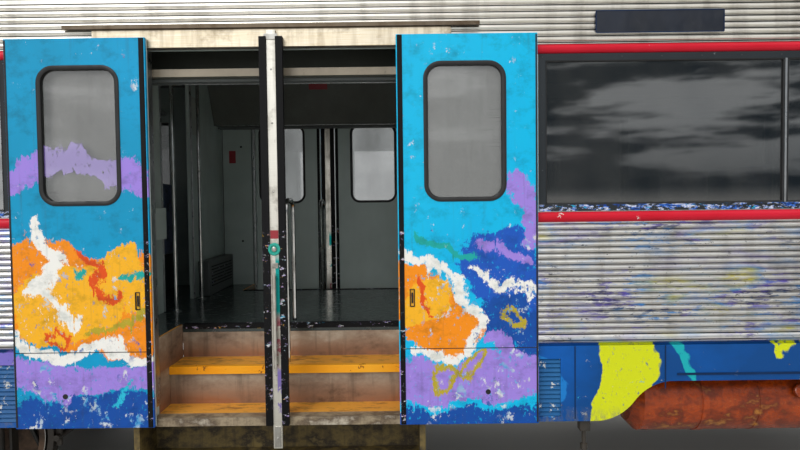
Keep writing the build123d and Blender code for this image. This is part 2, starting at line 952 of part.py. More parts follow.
# End wall with the gangway doorway, and its cap under the roof
gangway_half = 400
gangway_height = 2000
with BuildPart() as end_wall:
    with BuildSketch(Plane.YZ.offset(-body_half_length)):
        with Locations((0, (floor_top + cantrail) / 2)):
            Rectangle(2 * lining_y, cantrail - floor_top)
        arch(roof_shell + seat_gap)
        with Locations((0, floor_top + gangway_height / 2)):
            Rectangle(2 * gangway_half, gangway_height, mode=Mode.SUBTRACT)
    extrude(amount=end_wall_thickness)
save(end_wall, "end_wall")

# Gangway bellows: a frame with folds that swell and narrow
bellows_reach = 340
bellows_folds = 5
fold_depth = 45
fold_pitch = bellows_reach / (2 * bellows_folds)
bellows_margin = 30
bellows_border = 90
bellows_foot = 20
with BuildPart() as gangway_bellows:
    for i in range(2 * bellows_folds):
        swell = fold_depth if i % 2 == 0 else 0
        low = floor_top - bellows_margin - bellows_foot - swell
        high = floor_top + gangway_height + bellows_margin + bellows_border + swell
        half = gangway_half + bellows_margin + bellows_border + swell
        with BuildSketch(Plane.YZ.offset(-body_half_length - (i + 1) * fold_pitch)):
            with Locations((0, (low + high) / 2)):
                Rectangle(2 * half, high - low)
            with Locations((0, floor_top + gangway_height / 2)):
                Rectangle(
                    2 * (gangway_half + bellows_margin),
                    gangway_height + 2 * bellows_margin,
                    mode=Mode.SUBTRACT,
                )
        extrude(amount=fold_pitch)
save(gangway_bellows, "gangway_bellows")

# Gangway door: a leaf on two pivots in the end wall's doorway, that opens into the car
gangway_gap = 6
gangway_hinge_gap = 12
gangway_leaf_thickness = 36
gangway_leaf_inset = 12
gangway_leaf_x = -body_half_length + gangway_leaf_inset
gangway_pivot_inset = 20
gangway_pivot_radius = 9
gangway_pivot = (
    gangway_leaf_x + gangway_leaf_thickness / 2,
    -gangway_half + gangway_hinge_gap + gangway_pivot_inset,
)
with BuildPart() as gangway_door:
    block(
        (gangway_leaf_x, gangway_leaf_x + gangway_leaf_thickness),
        (-gangway_half + gangway_hinge_gap, gangway_half - gangway_gap),
        (floor_top + gangway_gap, floor_top + gangway_height - gangway_gap),
    )
    with BuildSketch(Plane.XY.offset(floor_top + seat_gap)):
        with Locations(gangway_pivot):
            Circle(gangway_pivot_radius)
    extrude(amount=gangway_height - 2 * seat_gap)
save(gangway_door, "gangway_door")

# Roof gear: cooler housings seated on the roof's curve, each with two round fan cowls
gear_top = roof_top + 170
gear_places = (-2200, 2200)
gear_half = 1100
gear_half_y = 700
gear_slope = 160
gear_seat = 100
cowl_height = 45
cowl_radius = 430
cowl_offset = 480
with BuildPart() as roof_cutter:
    with BuildSketch(Plane.YZ.offset(-body_half_length)):
        arch(-seat_gap)
    extrude(amount=2 * body_half_length)
with BuildPart() as roof_gear:
    for x in gear_places:
        with BuildSketch(near.offset(-gear_half_y)):
            with BuildLine():
                Polyline(
                    (x - gear_half, roof_top - gear_seat),
                    (x + gear_half, roof_top - gear_seat),
                    (x + gear_half, roof_top),
                    (x + gear_half - gear_slope, gear_top - cowl_height),
                    (x - gear_half + gear_slope, gear_top - cowl_height),
                    (x - gear_half, roof_top),
                    close=True,
                )
            make_face()
        extrude(amount=2 * gear_half_y)
        with BuildSketch(Plane.XY.offset(gear_top - cowl_height)):
            with Locations((x - cowl_offset, 0), (x + cowl_offset, 0)):
                Circle(cowl_radius)
        extrude(amount=cowl_height)
    add(roof_cutter.part, mode=Mode.SUBTRACT)
save(roof_gear, "roof_gear")

# Underframe: centre sills, solebars beside the stairs, crossbars, headstocks, plough,
# and the beams that carry the bogie pivots
beam_top = floor_top - floor_thickness
beam_bottom = beam_top - beam_depth
sill_end = body_half_length - headstock_length - plate_gap
crossbar_clear = 1500
crossbar_end = bogie_x + 1850
crossbar_steps = (crossbar_clear, door_x - crossbar_clear, door_x + crossbar_clear, crossbar_end)
crossbars = [end * x for end in (-1, 1) for x in crossbar_steps]
crossbar_width = 120
bolster_half = 200
pivot_length = 380
plough_z = (rail_top + 150, rail_top + 620)
plough_tip = body_half_length - 20
plough_rear = body_half_length - 450
plough_half = 1250
plough_thickness = 75
hanger_y = (sill_inner_y + sill_outer_y) / 2
hanger_width = 100
hanger_depth = 80
hanger_rise = 200


def plough_back(y):
    """Where the back face of a plough blade is at a distance from the middle of the car."""
    return plough_tip - plough_thickness - (plough_tip - plough_rear) * y / plough_half


with BuildPart() as underframe:
    block((-sill_end, sill_end), (-sill_outer_y, -sill_inner_y), (beam_bottom, beam_top))
    for ribbon_run in floor_runs:
        low = max(ribbon_run[0], -sill_end)
        block((low, ribbon_run[1]), (-lining_y, -solebar_y), (beam_top - solebar_depth, beam_top))
    for x in crossbars + [-bogie_x, bogie_x]:
        half = bolster_half if abs(x) == bogie_x else crossbar_width / 2
        block(
            (x - half, x + half),
            (-solebar_y + plate_gap, -sill_outer_y - plate_gap),
            (beam_bottom, beam_top),
        )
    mirror(about=Plane.XZ)
    for end in (-1, 1):
        block(
            (end * (body_half_length - headstock_length), end * body_half_length),
            (-headstock_half, headstock_half),
            (beam_top - headstock_depth, beam_top),
        )
        block(
            (end * bogie_x - bolster_half, end * bogie_x + bolster_half),
            (-sill_inner_y + plate_gap, sill_inner_y - plate_gap),
            (beam_bottom, beam_top),
        )
        with BuildSketch(Plane.XY.offset(beam_bottom)):
            with Locations((end * bogie_x, 0)):
                Circle(pivot_radius)
        extrude(amount=-pivot_length)
    for side in (-1, 1):
        with BuildSketch(Plane.XY.offset(plough_z[0])):
            with BuildLine():
                Polyline(
                    (plough_tip, side * plate_gap / 2),
                    (plough_rear, side * plough_half),
                    (plough_back(plough_half), side * plough_half),
                    (plough_back(0), side * plate_gap / 2),
                    close=True,
                )
            make_face()
        extrude(amount=plough_z[1] - plough_z[0])
        with BuildSketch(Plane.XY.offset(plough_z[0] + hanger_rise)):
            with BuildLine():
                low_y = hanger_y - hanger_width / 2
                high_y = hanger_y + hanger_width / 2
                Polyline(
                    (plough_back(low_y) - plate_gap, side * low_y),
                    (plough_back(high_y) - plate_gap, side * high_y),
                    (plough_back(high_y) - hanger_depth, side * high_y),
                    (plough_back(low_y) - hanger_depth, side * low_y),
                    close=True,
                )
            make_face()
        extrude(amount=beam_bottom - plate_gap - plough_z[0] - hanger_rise)
save(underframe, "underframe")

# Engine: one plain block between the bogies, hung from the centre sills
engine_x = (1700, 3900)
engine_half = 560
engine_bottom = rail_top + 430
with BuildPart() as engine_block:
    block(engine_x, (-engine_half, engine_half), (engine_bottom, beam_bottom))
save(engine_block, "engine_block")

# Fuel tank on the near side: a barrel with dished ends, hung by three plates
tank_radius = 250
tank_y = 1090
tank_z = rail_top + 753
tank_x = (-3420, -920)
tank_knuckle = 45
tank_dish = 70
hanger_plate = 40
hanger_half = 60
hanger_places = (-3340, -2190, -1040)
with BuildPart() as fuel_tank:
    with BuildSketch(near.offset(tank_y)):
        with BuildLine():
            Polyline(
                (tank_x[0], tank_z),
                (tank_x[0] + tank_knuckle / 2, tank_z + tank_radius - tank_dish),
                (tank_x[0] + tank_knuckle * 2, tank_z + tank_radius),
                (tank_x[1] - tank_knuckle * 2, tank_z + tank_radius),
                (tank_x[1] - tank_knuckle / 2, tank_z + tank_radius - tank_dish),
                (tank_x[1], tank_z),
                close=True,
            )
        make_face()
    revolve(axis=Axis((0, -tank_y, tank_z), (1, 0, 0)))
    for x in hanger_places:
        block(
            (x, x + hanger_plate),
            (-tank_y - hanger_half, -tank_y + hanger_half),
            (tank_z, beam_top),
        )
save(fuel_tank, "fuel_tank")

# Underfloor gear: equipment boxes and air reservoirs
# Columns: low and high ends along the car, side, inner and outer distance from the middle, lower edge
gear_boxes = (
    (-3400, -1200, 1, 720, 1280, rail_top + 480),
    (-600, 1200, 1, 700, 1280, rail_top + 520),
    (-600, 1200, -1, 700, 1280, rail_top + 520),
    (1800, 3600, -1, 760, 1280, rail_top + 450),
    (1800, 3600, 1, 760, 1280, rail_top + 450),
)
gear_box_top = beam_bottom - 60
gear_bevel = 90
bracket_inset = 200
bracket_half = 30
bracket_inner = 100
bracket_outer = 60
reservoir_radius = 150
reservoir_y = 330
reservoir_x = (-3300, -1560)
with BuildPart() as underfloor_gear:
    for low, high, side, y_inner, y_outer, z_low in gear_boxes:
        with BuildSketch(Plane.YZ.offset(low)):
            with BuildLine():
                Polyline(
                    (side * y_inner, z_low),
                    (side * (y_outer - gear_bevel), z_low),
                    (side * y_outer, z_low + gear_bevel),
                    (side * y_outer, gear_box_top),
                    (side * y_inner, gear_box_top),
                    close=True,
                )
            make_face()
        extrude(amount=high - low)
        for x in (low + bracket_inset, high - bracket_inset):
            block(
                (x - bracket_half, x + bracket_half),
                (side * (y_inner + bracket_inner), side * (y_outer - bracket_outer)),
                (gear_box_top, beam_top),
            )
    for y in (-reservoir_y, reservoir_y):
        with BuildSketch(Plane.YZ.offset(reservoir_x[0])):
            with Locations((y, beam_bottom - reservoir_radius)):
                Circle(reservoir_radius)
        extrude(amount=reservoir_x[1] - reservoir_x[0])
save(underfloor_gear, "underfloor_gear")

# Buffers at both ends: a tapered casing and a round head, turned about the buffer's own axis
buffer_y = 975
buffer_z = rail_top + 1050
buffer_head = 40
# Columns: distance from the headstock, radius
buffer_profile = (
    (0, 125),
    (buffer_reach - buffer_head, 90),
    (buffer_reach - buffer_head, 225),
    (buffer_reach, 225),
)
with BuildPart() as buffers:
    for end in (-1, 1):
        face = end * body_half_length
        for y in (-buffer_y, buffer_y):
            with BuildSketch(near.offset(-y)):
                with BuildLine():
                    Polyline(
                        (face, buffer_z),
                        *[(face + end * reach, buffer_z + radius) for reach, radius in buffer_profile],
                        (face + end * buffer_reach, buffer_z),
                        close=True,
                    )
                make_face()
            revolve(axis=Axis((face, y, buffer_z), (1, 0, 0)))
save(buffers, "buffers")

# Drawhooks at both ends, each with a round eye
hook_z = buffer_z
hook_eye_radius = 35
hook_eye_reach = 240
hook_thickness = 90
# Columns: distance from the headstock, half the width there
hook_outline = ((0, 70), (160, 60), (250, 90), (320, 30))
with BuildPart() as drawhooks:
    for end in (-1, 1):
        face = end * body_half_length
        with BuildSketch(Plane.XY.offset(hook_z - hook_thickness / 2)):
            with BuildLine():
                Polyline(
                    [(face + end * reach, -half) for reach, half in hook_outline]
                    + [(face + end * reach, half) for reach, half in reversed(hook_outline)],
                    close=True,
                )
            make_face()
            with Locations((face + end * hook_eye_reach, 0)):
                Circle(hook_eye_radius, mode=Mode.SUBTRACT)
        extrude(amount=hook_thickness)
save(drawhooks, "drawhooks")


def leaf_at(lead, hand, side):
    """One door leaf whose leading edge stands at lead, with its guide shoes, and its pane."""
    middle = lead + hand * leaf_width / 2
    pane_x = lead + hand * (pane_margin_lead + pane_width / 2)
    pane_z = leaf_bottom + leaf_height - pane_margin_top - pane_height / 2
    rail_z = rail_bottom + rail_height
    with BuildPart() as leaf:
        with BuildSketch(near.offset(leaf_inner_y)):
            with Locations((middle, leaf_bottom + leaf_height / 2)):
                Rectangle(leaf_width, leaf_height)
            with Locations((pane_x, pane_z)):
                RectangleRounded(pane_width, pane_height, pane_corner, mode=Mode.SUBTRACT)
        extrude(amount=leaf_thickness)
        slot_x = lead + hand * slot_margin
        block(
            (slot_x - slot_width / 2, slot_x + slot_width / 2),
            (-leaf_inner_y - leaf_thickness, -leaf_inner_y - leaf_thickness + slot_depth),
            (leaf_bottom + slot_rise, leaf_bottom + slot_rise + slot_height),
            mode=Mode.SUBTRACT,
        )
        for along in (shoe_margin, leaf_width - shoe_margin):
            at = lead + hand * along
            ends = (at - shoe_length / 2, at + shoe_length / 2)
            foot_y = (-groove_y - shoe_thickness / 2, -groove_y + shoe_thickness / 2)
            block(ends, (-leaf_inner_y, foot_y[1]), (rail_z + shoe_lift, rail_z + shoe_lift + shoe_arm))
            block(ends, foot_y, (rail_z - groove_depth + shoe_lift, rail_z + shoe_lift))
        if side > 0:
            mirror(about=Plane.XZ, mode=Mode.REPLACE)
    with BuildPart() as pane:
        with BuildSketch(near.offset(leaf_inner_y + (leaf_thickness - pane_thickness) / 2)):
            with Locations((pane_x, pane_z)):
                RectangleRounded(pane_width - 2 * seat_gap, pane_height - 2 * seat_gap, pane_corner)
        extrude(amount=pane_thickness)
        if side > 0:
            mirror(about=Plane.XZ, mode=Mode.REPLACE)
    return leaf, pane


# Leaves: the near ones stand open, the far ones closed
# Columns: name, side, doorway, hand along the car
leaf_table = [
    (f"{side_name}_{door_name}_{hand_name}", side, x, hand)
    for side_name, side in (("near", -1), ("far", 1))
    for door_name, x in (("rear", -door_x), ("front", door_x))
    for hand_name, hand in (("aft", -1), ("fore", 1))
]
for name, side, x, hand in leaf_table:
    lead_offset = leaf_open_lead if side < 0 else leaf_closed_lead
    leaf, pane = leaf_at(x + hand * lead_offset, hand, side)
    save(leaf, f"leaf_{name}")
    save(pane, f"pane_{name}")

# Bogies
frame_inner_y = 975
frame_outer_y = 1085
frame_end = 1500
frame_top = rail_top + 830
frame_low = rail_top + 680
drop_top = rail_top + 720
drop_bottom = rail_top + 520
drop_half = 620
drop_slope = 260
transom_half = 300
spring_y = 1000
box_half = 115
journal_gap = 0.08
damper_x = 1435
damper_radius = 32
damper_y = frame_outer_y + 15
damper_bottom = axle_z - 85
damper_top = frame_low + 70
bracket_depth = 30

# Each kind of spring: how many rings it swells in, its waist radius, its full radius
air_spring = (2, 165, 210)
coil_spring = (5, 36, 50)


def ringed_column(x, y, z_low, z_high, spring):
    """A round spring that swells in rings, standing between two heights."""
    rings, waist_radius, full_radius = spring
    pitch = (z_high - z_low) / rings
    with BuildSketch(near.offset(-y)) as section:
        with BuildLine():
            corners = [(x, z_low), (x + waist_radius, z_low)]
            for i in range(rings):
                corners.append((x + full_radius, z_low + (i + 0.3) * pitch))
                corners.append((x + full_radius, z_low + (i + 0.7) * pitch))
                corners.append((x + waist_radius, z_low + (i + 1) * pitch))
            Polyline(corners + [(x, z_high)], close=True)
        make_face()
    revolve(section.sketch, axis=Axis((x, y, 0), (0, 0, 1)))


def side_frame_outline(x):
    """One side of the H frame: raised over the axle boxes and dropped between them."""
    with BuildLine() as outline:
        Polyline(
            (x - frame_end, frame_low),
            (x - frame_end, frame_top),
            (x - drop_half - drop_slope, frame_top),
            (x - drop_half, drop_top),
            (x + drop_half, drop_top),
            (x + drop_half + drop_slope, frame_top),
            (x + frame_end, frame_top),
            (x + frame_end, frame_low),
            (x + drop_half + drop_slope, frame_low),
            (x + drop_half, drop_bottom),
            (x - drop_half, drop_bottom),
            (x - drop_half - drop_slope, frame_low),
            close=True,
        )
    make_face(outline.edges())


def bogie_frame_at(x):
    """The H frame with its transom, pivot hole and air springs."""
    with BuildPart() as frame:
        with BuildSketch(near.offset(frame_inner_y)):
            side_frame_outline(x)
        extrude(amount=frame_outer_y - frame_inner_y)
        mirror(about=Plane.XZ)
        block((x - transom_half, x + transom_half), (-frame_inner_y, frame_inner_y), (drop_bottom, drop_top))
        with Locations((x, 0, (drop_bottom + drop_top) / 2)):
            Cylinder(pivot_radius + pivot_clearance, drop_top - drop_bottom, mode=Mode.SUBTRACT)
        for side in (-1, 1):
            ringed_column(x, side * spring_y, drop_top, beam_bottom - seat_gap, air_spring)
        with BuildSketch(Plane.XY.offset(damper_bottom)):
            with Locations([(x + end * damper_x, side * damper_y) for end in (-1, 1) for side in (-1, 1)]):
                Circle(damper_radius)
        extrude(amount=damper_top - damper_bottom)
    return frame


def axle_boxes_at(x):
    """Four axle boxes with the coil springs that carry the frame and the feet of its dampers."""
    spring_middle = (frame_inner_y + frame_outer_y) / 2
    with BuildPart() as boxes:
        for end in (-1, 1):
            axle = x + end * wheelbase / 2
            block(
                (axle + end * box_half, x + end * (damper_x + damper_radius)),
                (-damper_y - damper_radius, -frame_outer_y + bracket_depth),
                (damper_bottom - bracket_depth, damper_bottom - seat_gap),
            )
            block(
                (axle - box_half, axle + box_half),
                (-frame_outer_y, -frame_inner_y),
                (axle_z - box_half, axle_z + box_half),
            )
            with BuildSketch(near.offset(frame_inner_y)):
                with Locations((axle, axle_z)):
                    Circle(journal_radius + journal_gap)
            extrude(amount=frame_outer_y - frame_inner_y, mode=Mode.SUBTRACT)
            ringed_column(axle, -spring_middle, axle_z + box_half, frame_low, coil_spring)
        mirror(about=Plane.XZ)
    return boxes


def wheelset_at(x):
    """An axle and its two wheels, turned about Y."""
    rim_inner = tread_radius - rim_depth
    rim_step = rim_depth / 4
    front_y = wheel_back_y + wheel_width
    hub_in = wheel_back_y - hub_overhang
    hub_out = front_y + hub_overhang
    web_y = wheel_back_y + (wheel_width - web_thickness) / 2
    plane = Plane(origin=(x, 0, axle_z), x_dir=(0, 1, 0), z_dir=(1, 0, 0))
    with BuildPart() as wheelset:
        with BuildSketch(plane):
            with BuildLine():
                Polyline(
                    (0, 0),
                    (0, axle_radius),
                    (hub_in, axle_radius),
                    (hub_in, hub_radius),
                    (web_y, hub_radius + web_fillet),
                    (web_y, rim_inner),
                    (wheel_back_y, rim_inner + rim_step),
                    (wheel_back_y, flange_radius - flange_tip),
                    (wheel_back_y + flange_tip, flange_radius),
                    (wheel_back_y + flange_width, tread_radius + tread_taper),
                    (front_y, tread_radius - tread_taper),
                    (front_y, rim_inner + rim_step),
                    (web_y + web_thickness, rim_inner),
                    (hub_out, hub_radius),
                    (hub_out, journal_radius),
                    (journal_end_y, journal_radius),
                    (journal_end_y, 0),
                    close=True,
                )
            make_face()
        revolve(axis=Axis((x, 0, axle_z), (0, 1, 0)))
        mirror(about=Plane.XZ)
    return wheelset


for bogie_name, x in (("rear", -bogie_x), ("front", bogie_x)):
    save(bogie_frame_at(x), f"bogie_frame_{bogie_name}")
    save(axle_boxes_at(x), f"axle_boxes_{bogie_name}")
    for axle_name, axle in (("aft", x - wheelbase / 2), ("fore", x + wheelbase / 2)):
        save(wheelset_at(axle), f"wheelset_{bogie_name}_{axle_name}")
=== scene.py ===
import math
from functools import partial

import bmesh
import bpy
from mathutils import Matrix, Vector


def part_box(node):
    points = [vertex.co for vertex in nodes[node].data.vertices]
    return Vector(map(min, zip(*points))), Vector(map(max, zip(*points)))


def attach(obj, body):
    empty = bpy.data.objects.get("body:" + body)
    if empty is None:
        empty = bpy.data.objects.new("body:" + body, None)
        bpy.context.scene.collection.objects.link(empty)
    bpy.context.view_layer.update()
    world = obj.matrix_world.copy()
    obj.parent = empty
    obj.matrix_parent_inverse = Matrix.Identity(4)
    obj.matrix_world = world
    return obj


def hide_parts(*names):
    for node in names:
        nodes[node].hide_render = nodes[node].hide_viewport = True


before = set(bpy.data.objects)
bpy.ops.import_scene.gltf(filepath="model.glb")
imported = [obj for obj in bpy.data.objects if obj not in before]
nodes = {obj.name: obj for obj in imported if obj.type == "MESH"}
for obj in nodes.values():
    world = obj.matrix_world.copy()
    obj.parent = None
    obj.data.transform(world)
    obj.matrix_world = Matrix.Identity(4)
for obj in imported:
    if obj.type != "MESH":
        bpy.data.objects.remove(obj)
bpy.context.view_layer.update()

bl_info = {
    "name": "Fluted railcar finish",
    "version": (1, 0, 0),
    "blender": (4, 5, 0),
    "location": "View3D > Sidebar > Railcar",
    "description": "Dresses a stainless steel railcar: trim, fittings, benches and finishes",
    "category": "Object",
}

# Places read from the frame, in metres. The open doorway nearest the camera is the rear one.
skin_y = -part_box("side_panels")[0].y
near_leaf_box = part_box("leaf_near_rear_aft")
leaf_outer_y = -near_leaf_box[0].y
leaf_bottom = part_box("post_seals")[0].z
leaf_top = near_leaf_box[1].z
floor_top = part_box("floors")[1].z
stairs_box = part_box("stairs")
car_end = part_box("end_wall")[0].x
nose_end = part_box("cab_front")[1].x
roof_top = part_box("roof")[1].z
doorways = tuple(
    (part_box(f"pane_far_{door}_aft")[0].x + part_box(f"pane_far_{door}_fore")[1].x) / 2
    for door in ("rear", "front")
)
jamb = (stairs_box[1].x - doorways[1]) - 0.02
# Window ribbons: start of the first window and number of windows
window_pitch = 1.646
window_rows = ((-12.543, 3), (-4.115, 5), (7.605, 2))
leaf_names = [name for name in sorted(nodes) if name.startswith("leaf_")]
# Distances of the bogies from the car's middle and of the axles from a bogie's, and the axles' height
bogie_x, half_base, axle_z = 9.45, 1.25, 0.460


def linear(hex_colour):
    """Turn an sRGB hex colour into the linear colour that shaders use."""
    channels = [int(hex_colour[i:i + 2], 16) / 255 for i in (1, 3, 5)]
    return tuple(c / 12.92 if c <= 0.04045 else ((c + 0.055) / 1.055) ** 2.4 for c in channels) + (1.0,)


def add_node(tree, kind, *inputs, output=0, stops=None, **settings):
    """Add one node with its settings, values and links, and give back one output, or all of them for None.

    A kind in capitals is an operation of the Math node. Inputs come in order, or by name in one dictionary.
    """
    node = tree.nodes.new("ShaderNodeMath" if kind.isupper() else "ShaderNode" + kind)
    if kind.isupper():
        node.operation = kind
    for name, value in settings.items():
        setattr(node, name, value)
    if stops:
        elements = node.color_ramp.elements
        elements[0].position, elements[0].color = stops[0][0], linear(stops[0][1])
        elements[1].position, elements[1].color = stops[-1][0], linear(stops[-1][1])
        for place, colour in stops[1:-1]:
            elements.new(place).color = linear(colour)
    named = inputs[0] if inputs and isinstance(inputs[0], dict) else dict(enumerate(inputs))
    for name, value in named.items():
        if isinstance(value, bpy.types.NodeSocket):
            tree.links.new(value, node.inputs[name])
        else:
            node.inputs[name].default_value = value
    return node.outputs if output is None else node.outputs[output]


def stretched_noise(add, place, scale, detail=4.0, roughness=0.55):
    """Noise whose grain differs along the three axes; scale is in waves to the metre."""
    scaled = add("VectorMath", place, scale, operation="MULTIPLY")
    return add("TexNoise", {"Vector": scaled, "Scale": 1.0, "Detail": detail, "Roughness": roughness})


def blend(add, under, over, mask):
    """One colour over another where the mask is 1; a colour is a hex code or an output."""
    under, over = (linear(colour) if isinstance(colour, str) else colour for colour in (under, over))
    return add("Mix", {0: mask, 6: under, 7: over}, output=2, data_type="RGBA")


class Recipe:
    """A finish in the making: its node tree, the place on the car at rest, and the colour laid on so far."""

    def __init__(self, name, base=None, **constants):
        self.material = bpy.data.materials.new(name)
        self.material.use_nodes = True
        self.tree = self.material.node_tree
        self.shader = self.tree.nodes["Principled BSDF"]
        for key, value in constants.items():
            self.shader.inputs[key.replace("_", " ")].default_value = value
        self.add = partial(add_node, self.tree)
        self.place = self.add("TexCoord", output="Object")
        self.x, self.y, self.z = self.add("SeparateXYZ", self.place, output=None)
        self.noise = partial(stretched_noise, self.add, self.place)
        self.blend = partial(blend, self.add)
        self.colour = base

    def lay(self, over, mask):
        """Lay a colour over the colour so far where the mask is 1."""
        self.colour = self.blend(self.colour, over, mask)

    def dust(self, over, value, low, high, least=0.0, most=1.0):
        """Lay a colour over the colour so far, from least to most as the value rises from low to high."""
        self.lay(over, self.add("MapRange", value, low, high, least, most))

    def done(self, rough=None, bump=None, **sources):
        """Link the colour, a range of roughness, a relief (height, depth in metres, strength), and others."""
        sources["Base Color"] = self.colour
        if rough:
            sources["Roughness"] = self.add("MapRange", *rough)
        if bump:
            height, depth, strength = bump
            sources["Normal"] = self.add("Bump", {"Strength": strength, "Distance": depth, "Height": height})
        for name, source in sources.items():
            self.tree.links.new(source, self.shader.inputs[name])
        return self.material


def reach_of(add, first, second):
    """How far a point is from the origin of two axes."""
    squares = [add("MULTIPLY", value, value) for value in (first, second)]
    return add("POWER", add("ADD", *squares), 0.5)


def folded(add, value, middle):
    """The distance from either of two places that lie at the same distance from the middle of the car."""
    return add("ABSOLUTE", add("SUBTRACT", add("ABSOLUTE", value), middle))


def spots_along(mix, pitch_x, pitch_z, start_z, radius):
    """A grid of round spots on the side of the car, such as the dimples of spot welds."""
    add = mix.add
    cells = []
    for value, start, pitch in ((mix.x, 0.0, pitch_x), (mix.z, start_z, pitch_z)):
        part = add("FRACT", add("DIVIDE", add("SUBTRACT", value, start), pitch))
        cells.append(add("MULTIPLY", add("SUBTRACT", part, 0.5), pitch))
    return add("MapRange", reach_of(add, *cells), radius * 0.6, radius, 1.0, 0.0)


def cab_half_of_posts(mix):
    """1 on the half of each centre post that lies towards the cab."""
    masks = []
    for middle in doorways:
        after = mix.add("MapRange", mix.x, middle + 0.003, middle + 0.005)
        before = mix.add("MapRange", mix.x, middle + 0.200, middle + 0.202, 1.0, 0.0)
        masks.append(mix.add("MULTIPLY", after, before))
    return mix.add("MAXIMUM", *masks)


def inner_face(mix, reach):
    """1 on the faces that lie nearer than reach to the middle of the car."""
    return mix.add("MapRange", mix.add("ABSOLUTE", mix.y), reach - 0.004, reach, 1.0, 0.0)


def fluted_stainless(name, tint, soiling, flute_pitch=0.0, flute_start=0.0, residue=0.0, pockets=False):
    """Rolled stainless sheet, fluted and spot-welded: grain, brown dust, painted shade with some grime in the
    flutes' valleys, paint residue, lined inside.
    """
    mix = Recipe(name, tint)
    add = mix.add
    grain = mix.noise((4.0, 160.0, 420.0), 3.0)
    clouds = mix.noise((1.3, 1.3, 2.2), 6.0)
    mix.dust("#f1efea", grain, 0.3, 0.7)
    mix.dust("#6b6154", mix.noise((9.0, 9.0, 1.2), 5.0), 0.50, 0.80, 0.0, soiling)
    mix.dust("#8d8476", clouds, 0.50, 0.80, 0.0, soiling * 0.6)
    if flute_pitch:
        # The pockets behind the leaves are flat and bare
        away = folded(add, mix.x, doorways[1])
        zone = add("MapRange", away, pocket_half - 0.002, pocket_half, 1.0, 0.0) if pockets else 0.0
        fluted = add("SUBTRACT", 1.0, zone)
        weld = spots_along(mix, 0.042, flute_pitch, flute_start, 0.0045)
        valley = add("FRACT", add("DIVIDE", add("SUBTRACT", mix.z, flute_start), flute_pitch))
        valley = add("ABSOLUTE", add("SUBTRACT", valley, 0.5))
        # Painted shade, with some grime: the valleys between the flutes are laid near black.
        valley_shade_and_grime = add("MapRange", valley, 0.060, 0.135, 0.97, 0.0)
        mix.lay("#141210", add("MULTIPLY", valley_shade_and_grime, fluted))
        mix.lay("#5a4638", add("MULTIPLY", add("MULTIPLY", weld, 0.6), fluted))
    if residue:
        lay_residue(mix, add("MULTIPLY", fluted, residue))
    lined = inner_face(mix, skin_y - 0.055)
    mix.lay(mix.blend("#b8c6c1", "#a2b0ab", add("MapRange", clouds, 0.35, 0.7)), lined)
    rough = (add("ADD", grain, clouds), 0.7, 1.4, 0.24, 0.46)
    return mix.done(rough, (grain, 0.0004, 0.35), Metallic=add("SUBTRACT", 1.0, lined))


def lay_residue(mix, amount):
    """Spray paint that cleaning has left on the flutes: a thin wash, dark clots and short smears."""
    add = mix.add
    stops = ((0.34, "#e0d42e"), (0.42, "#3f9be6"), (0.50, "#7463c8"), (0.57, "#1c2a5a"), (0.64, "#2f93e0"))
    paint = add("ValToRGB", mix.noise((1.5, 1.5, 5.5), 2.0), stops=stops)
    smears = add("MapRange", mix.noise((9.0, 9.0, 42.0), 8.0, 0.72), 0.50, 0.58)
    smears = add("MULTIPLY", smears, add("MapRange", mix.noise((1.1, 1.1, 2.6), 3.0), 0.42, 0.60))
    wash = add("MapRange", mix.noise((2.2, 2.2, 9.0), 6.0, 0.65), 0.50, 0.66, 0.0, 0.45)
    clots = add("MapRange", mix.noise((16.0, 16.0, 34.0), 9.0, 0.74), 0.615, 0.63, 0.0, 0.9)
    for over, mask in ((paint, wash), ("#12141c", clots), (paint, smears)):
        mix.lay(over, add("MULTIPLY", mask, amount))


def bare_stainless(name, tint, stain, soiling, dark_from=9.0, paint=()):
    """Flat stainless plate: grain, brown runs, a rusty edge above dark_from, and paint on its face."""
    mix = Recipe(name, tint, Metallic=1.0)
    add = mix.add
    grain = mix.noise((6.0, 200.0, 300.0), 3.0)
    blots = mix.noise((5.0, 5.0, 5.0), 8.0, 0.66)
    mix.dust("#e6e2d8", grain, 0.3, 0.7, 0.0, 0.6)
    mix.dust(stain, mix.noise((18.0, 18.0, 1.4), 6.0, 0.6), 0.45, 0.75, 0.0, soiling)
    mix.dust(stain, blots, 0.52, 0.66, 0.0, soiling)
    mix.dust("#3a2a1e", mix.z, dark_from, dark_from + 0.004, 0.0, 0.85)
    if paint:
        # Only the face behind the handle is painted, and only its half towards the cab
        behind = add("MULTIPLY", inner_face(mix, 1.556), cab_half_of_posts(mix))
    for low, high, shade, cover in paint:
        band = add("MapRange", mix.z, low, low + 0.06)
        band = add("MULTIPLY", band, add("MapRange", mix.z, high - 0.06, high, 1.0, 0.0))
        patch = add("MapRange", blots, 0.54 - cover * 0.12, 0.56 - cover * 0.12)
        mix.lay(shade, add("MULTIPLY", add("MULTIPLY", band, patch), behind))
    return mix.done((blots, 0.3, 0.7, 0.24, 0.5), (grain, 0.0003, 0.3))


BLUE_FLECKS = ((0.36, "#123a8c"), (0.45, "#2c6fd0"), (0.52, "#e4e6ea"), (0.58, "#1b56b8"), (0.66, "#30b4c2"))
MIXED_FLECKS = ((0.38, "#d8a92e"), (0.46, "#8d7cc8"), (0.53, "#dcd9cf"), (0.62, "#2f8fb8"))


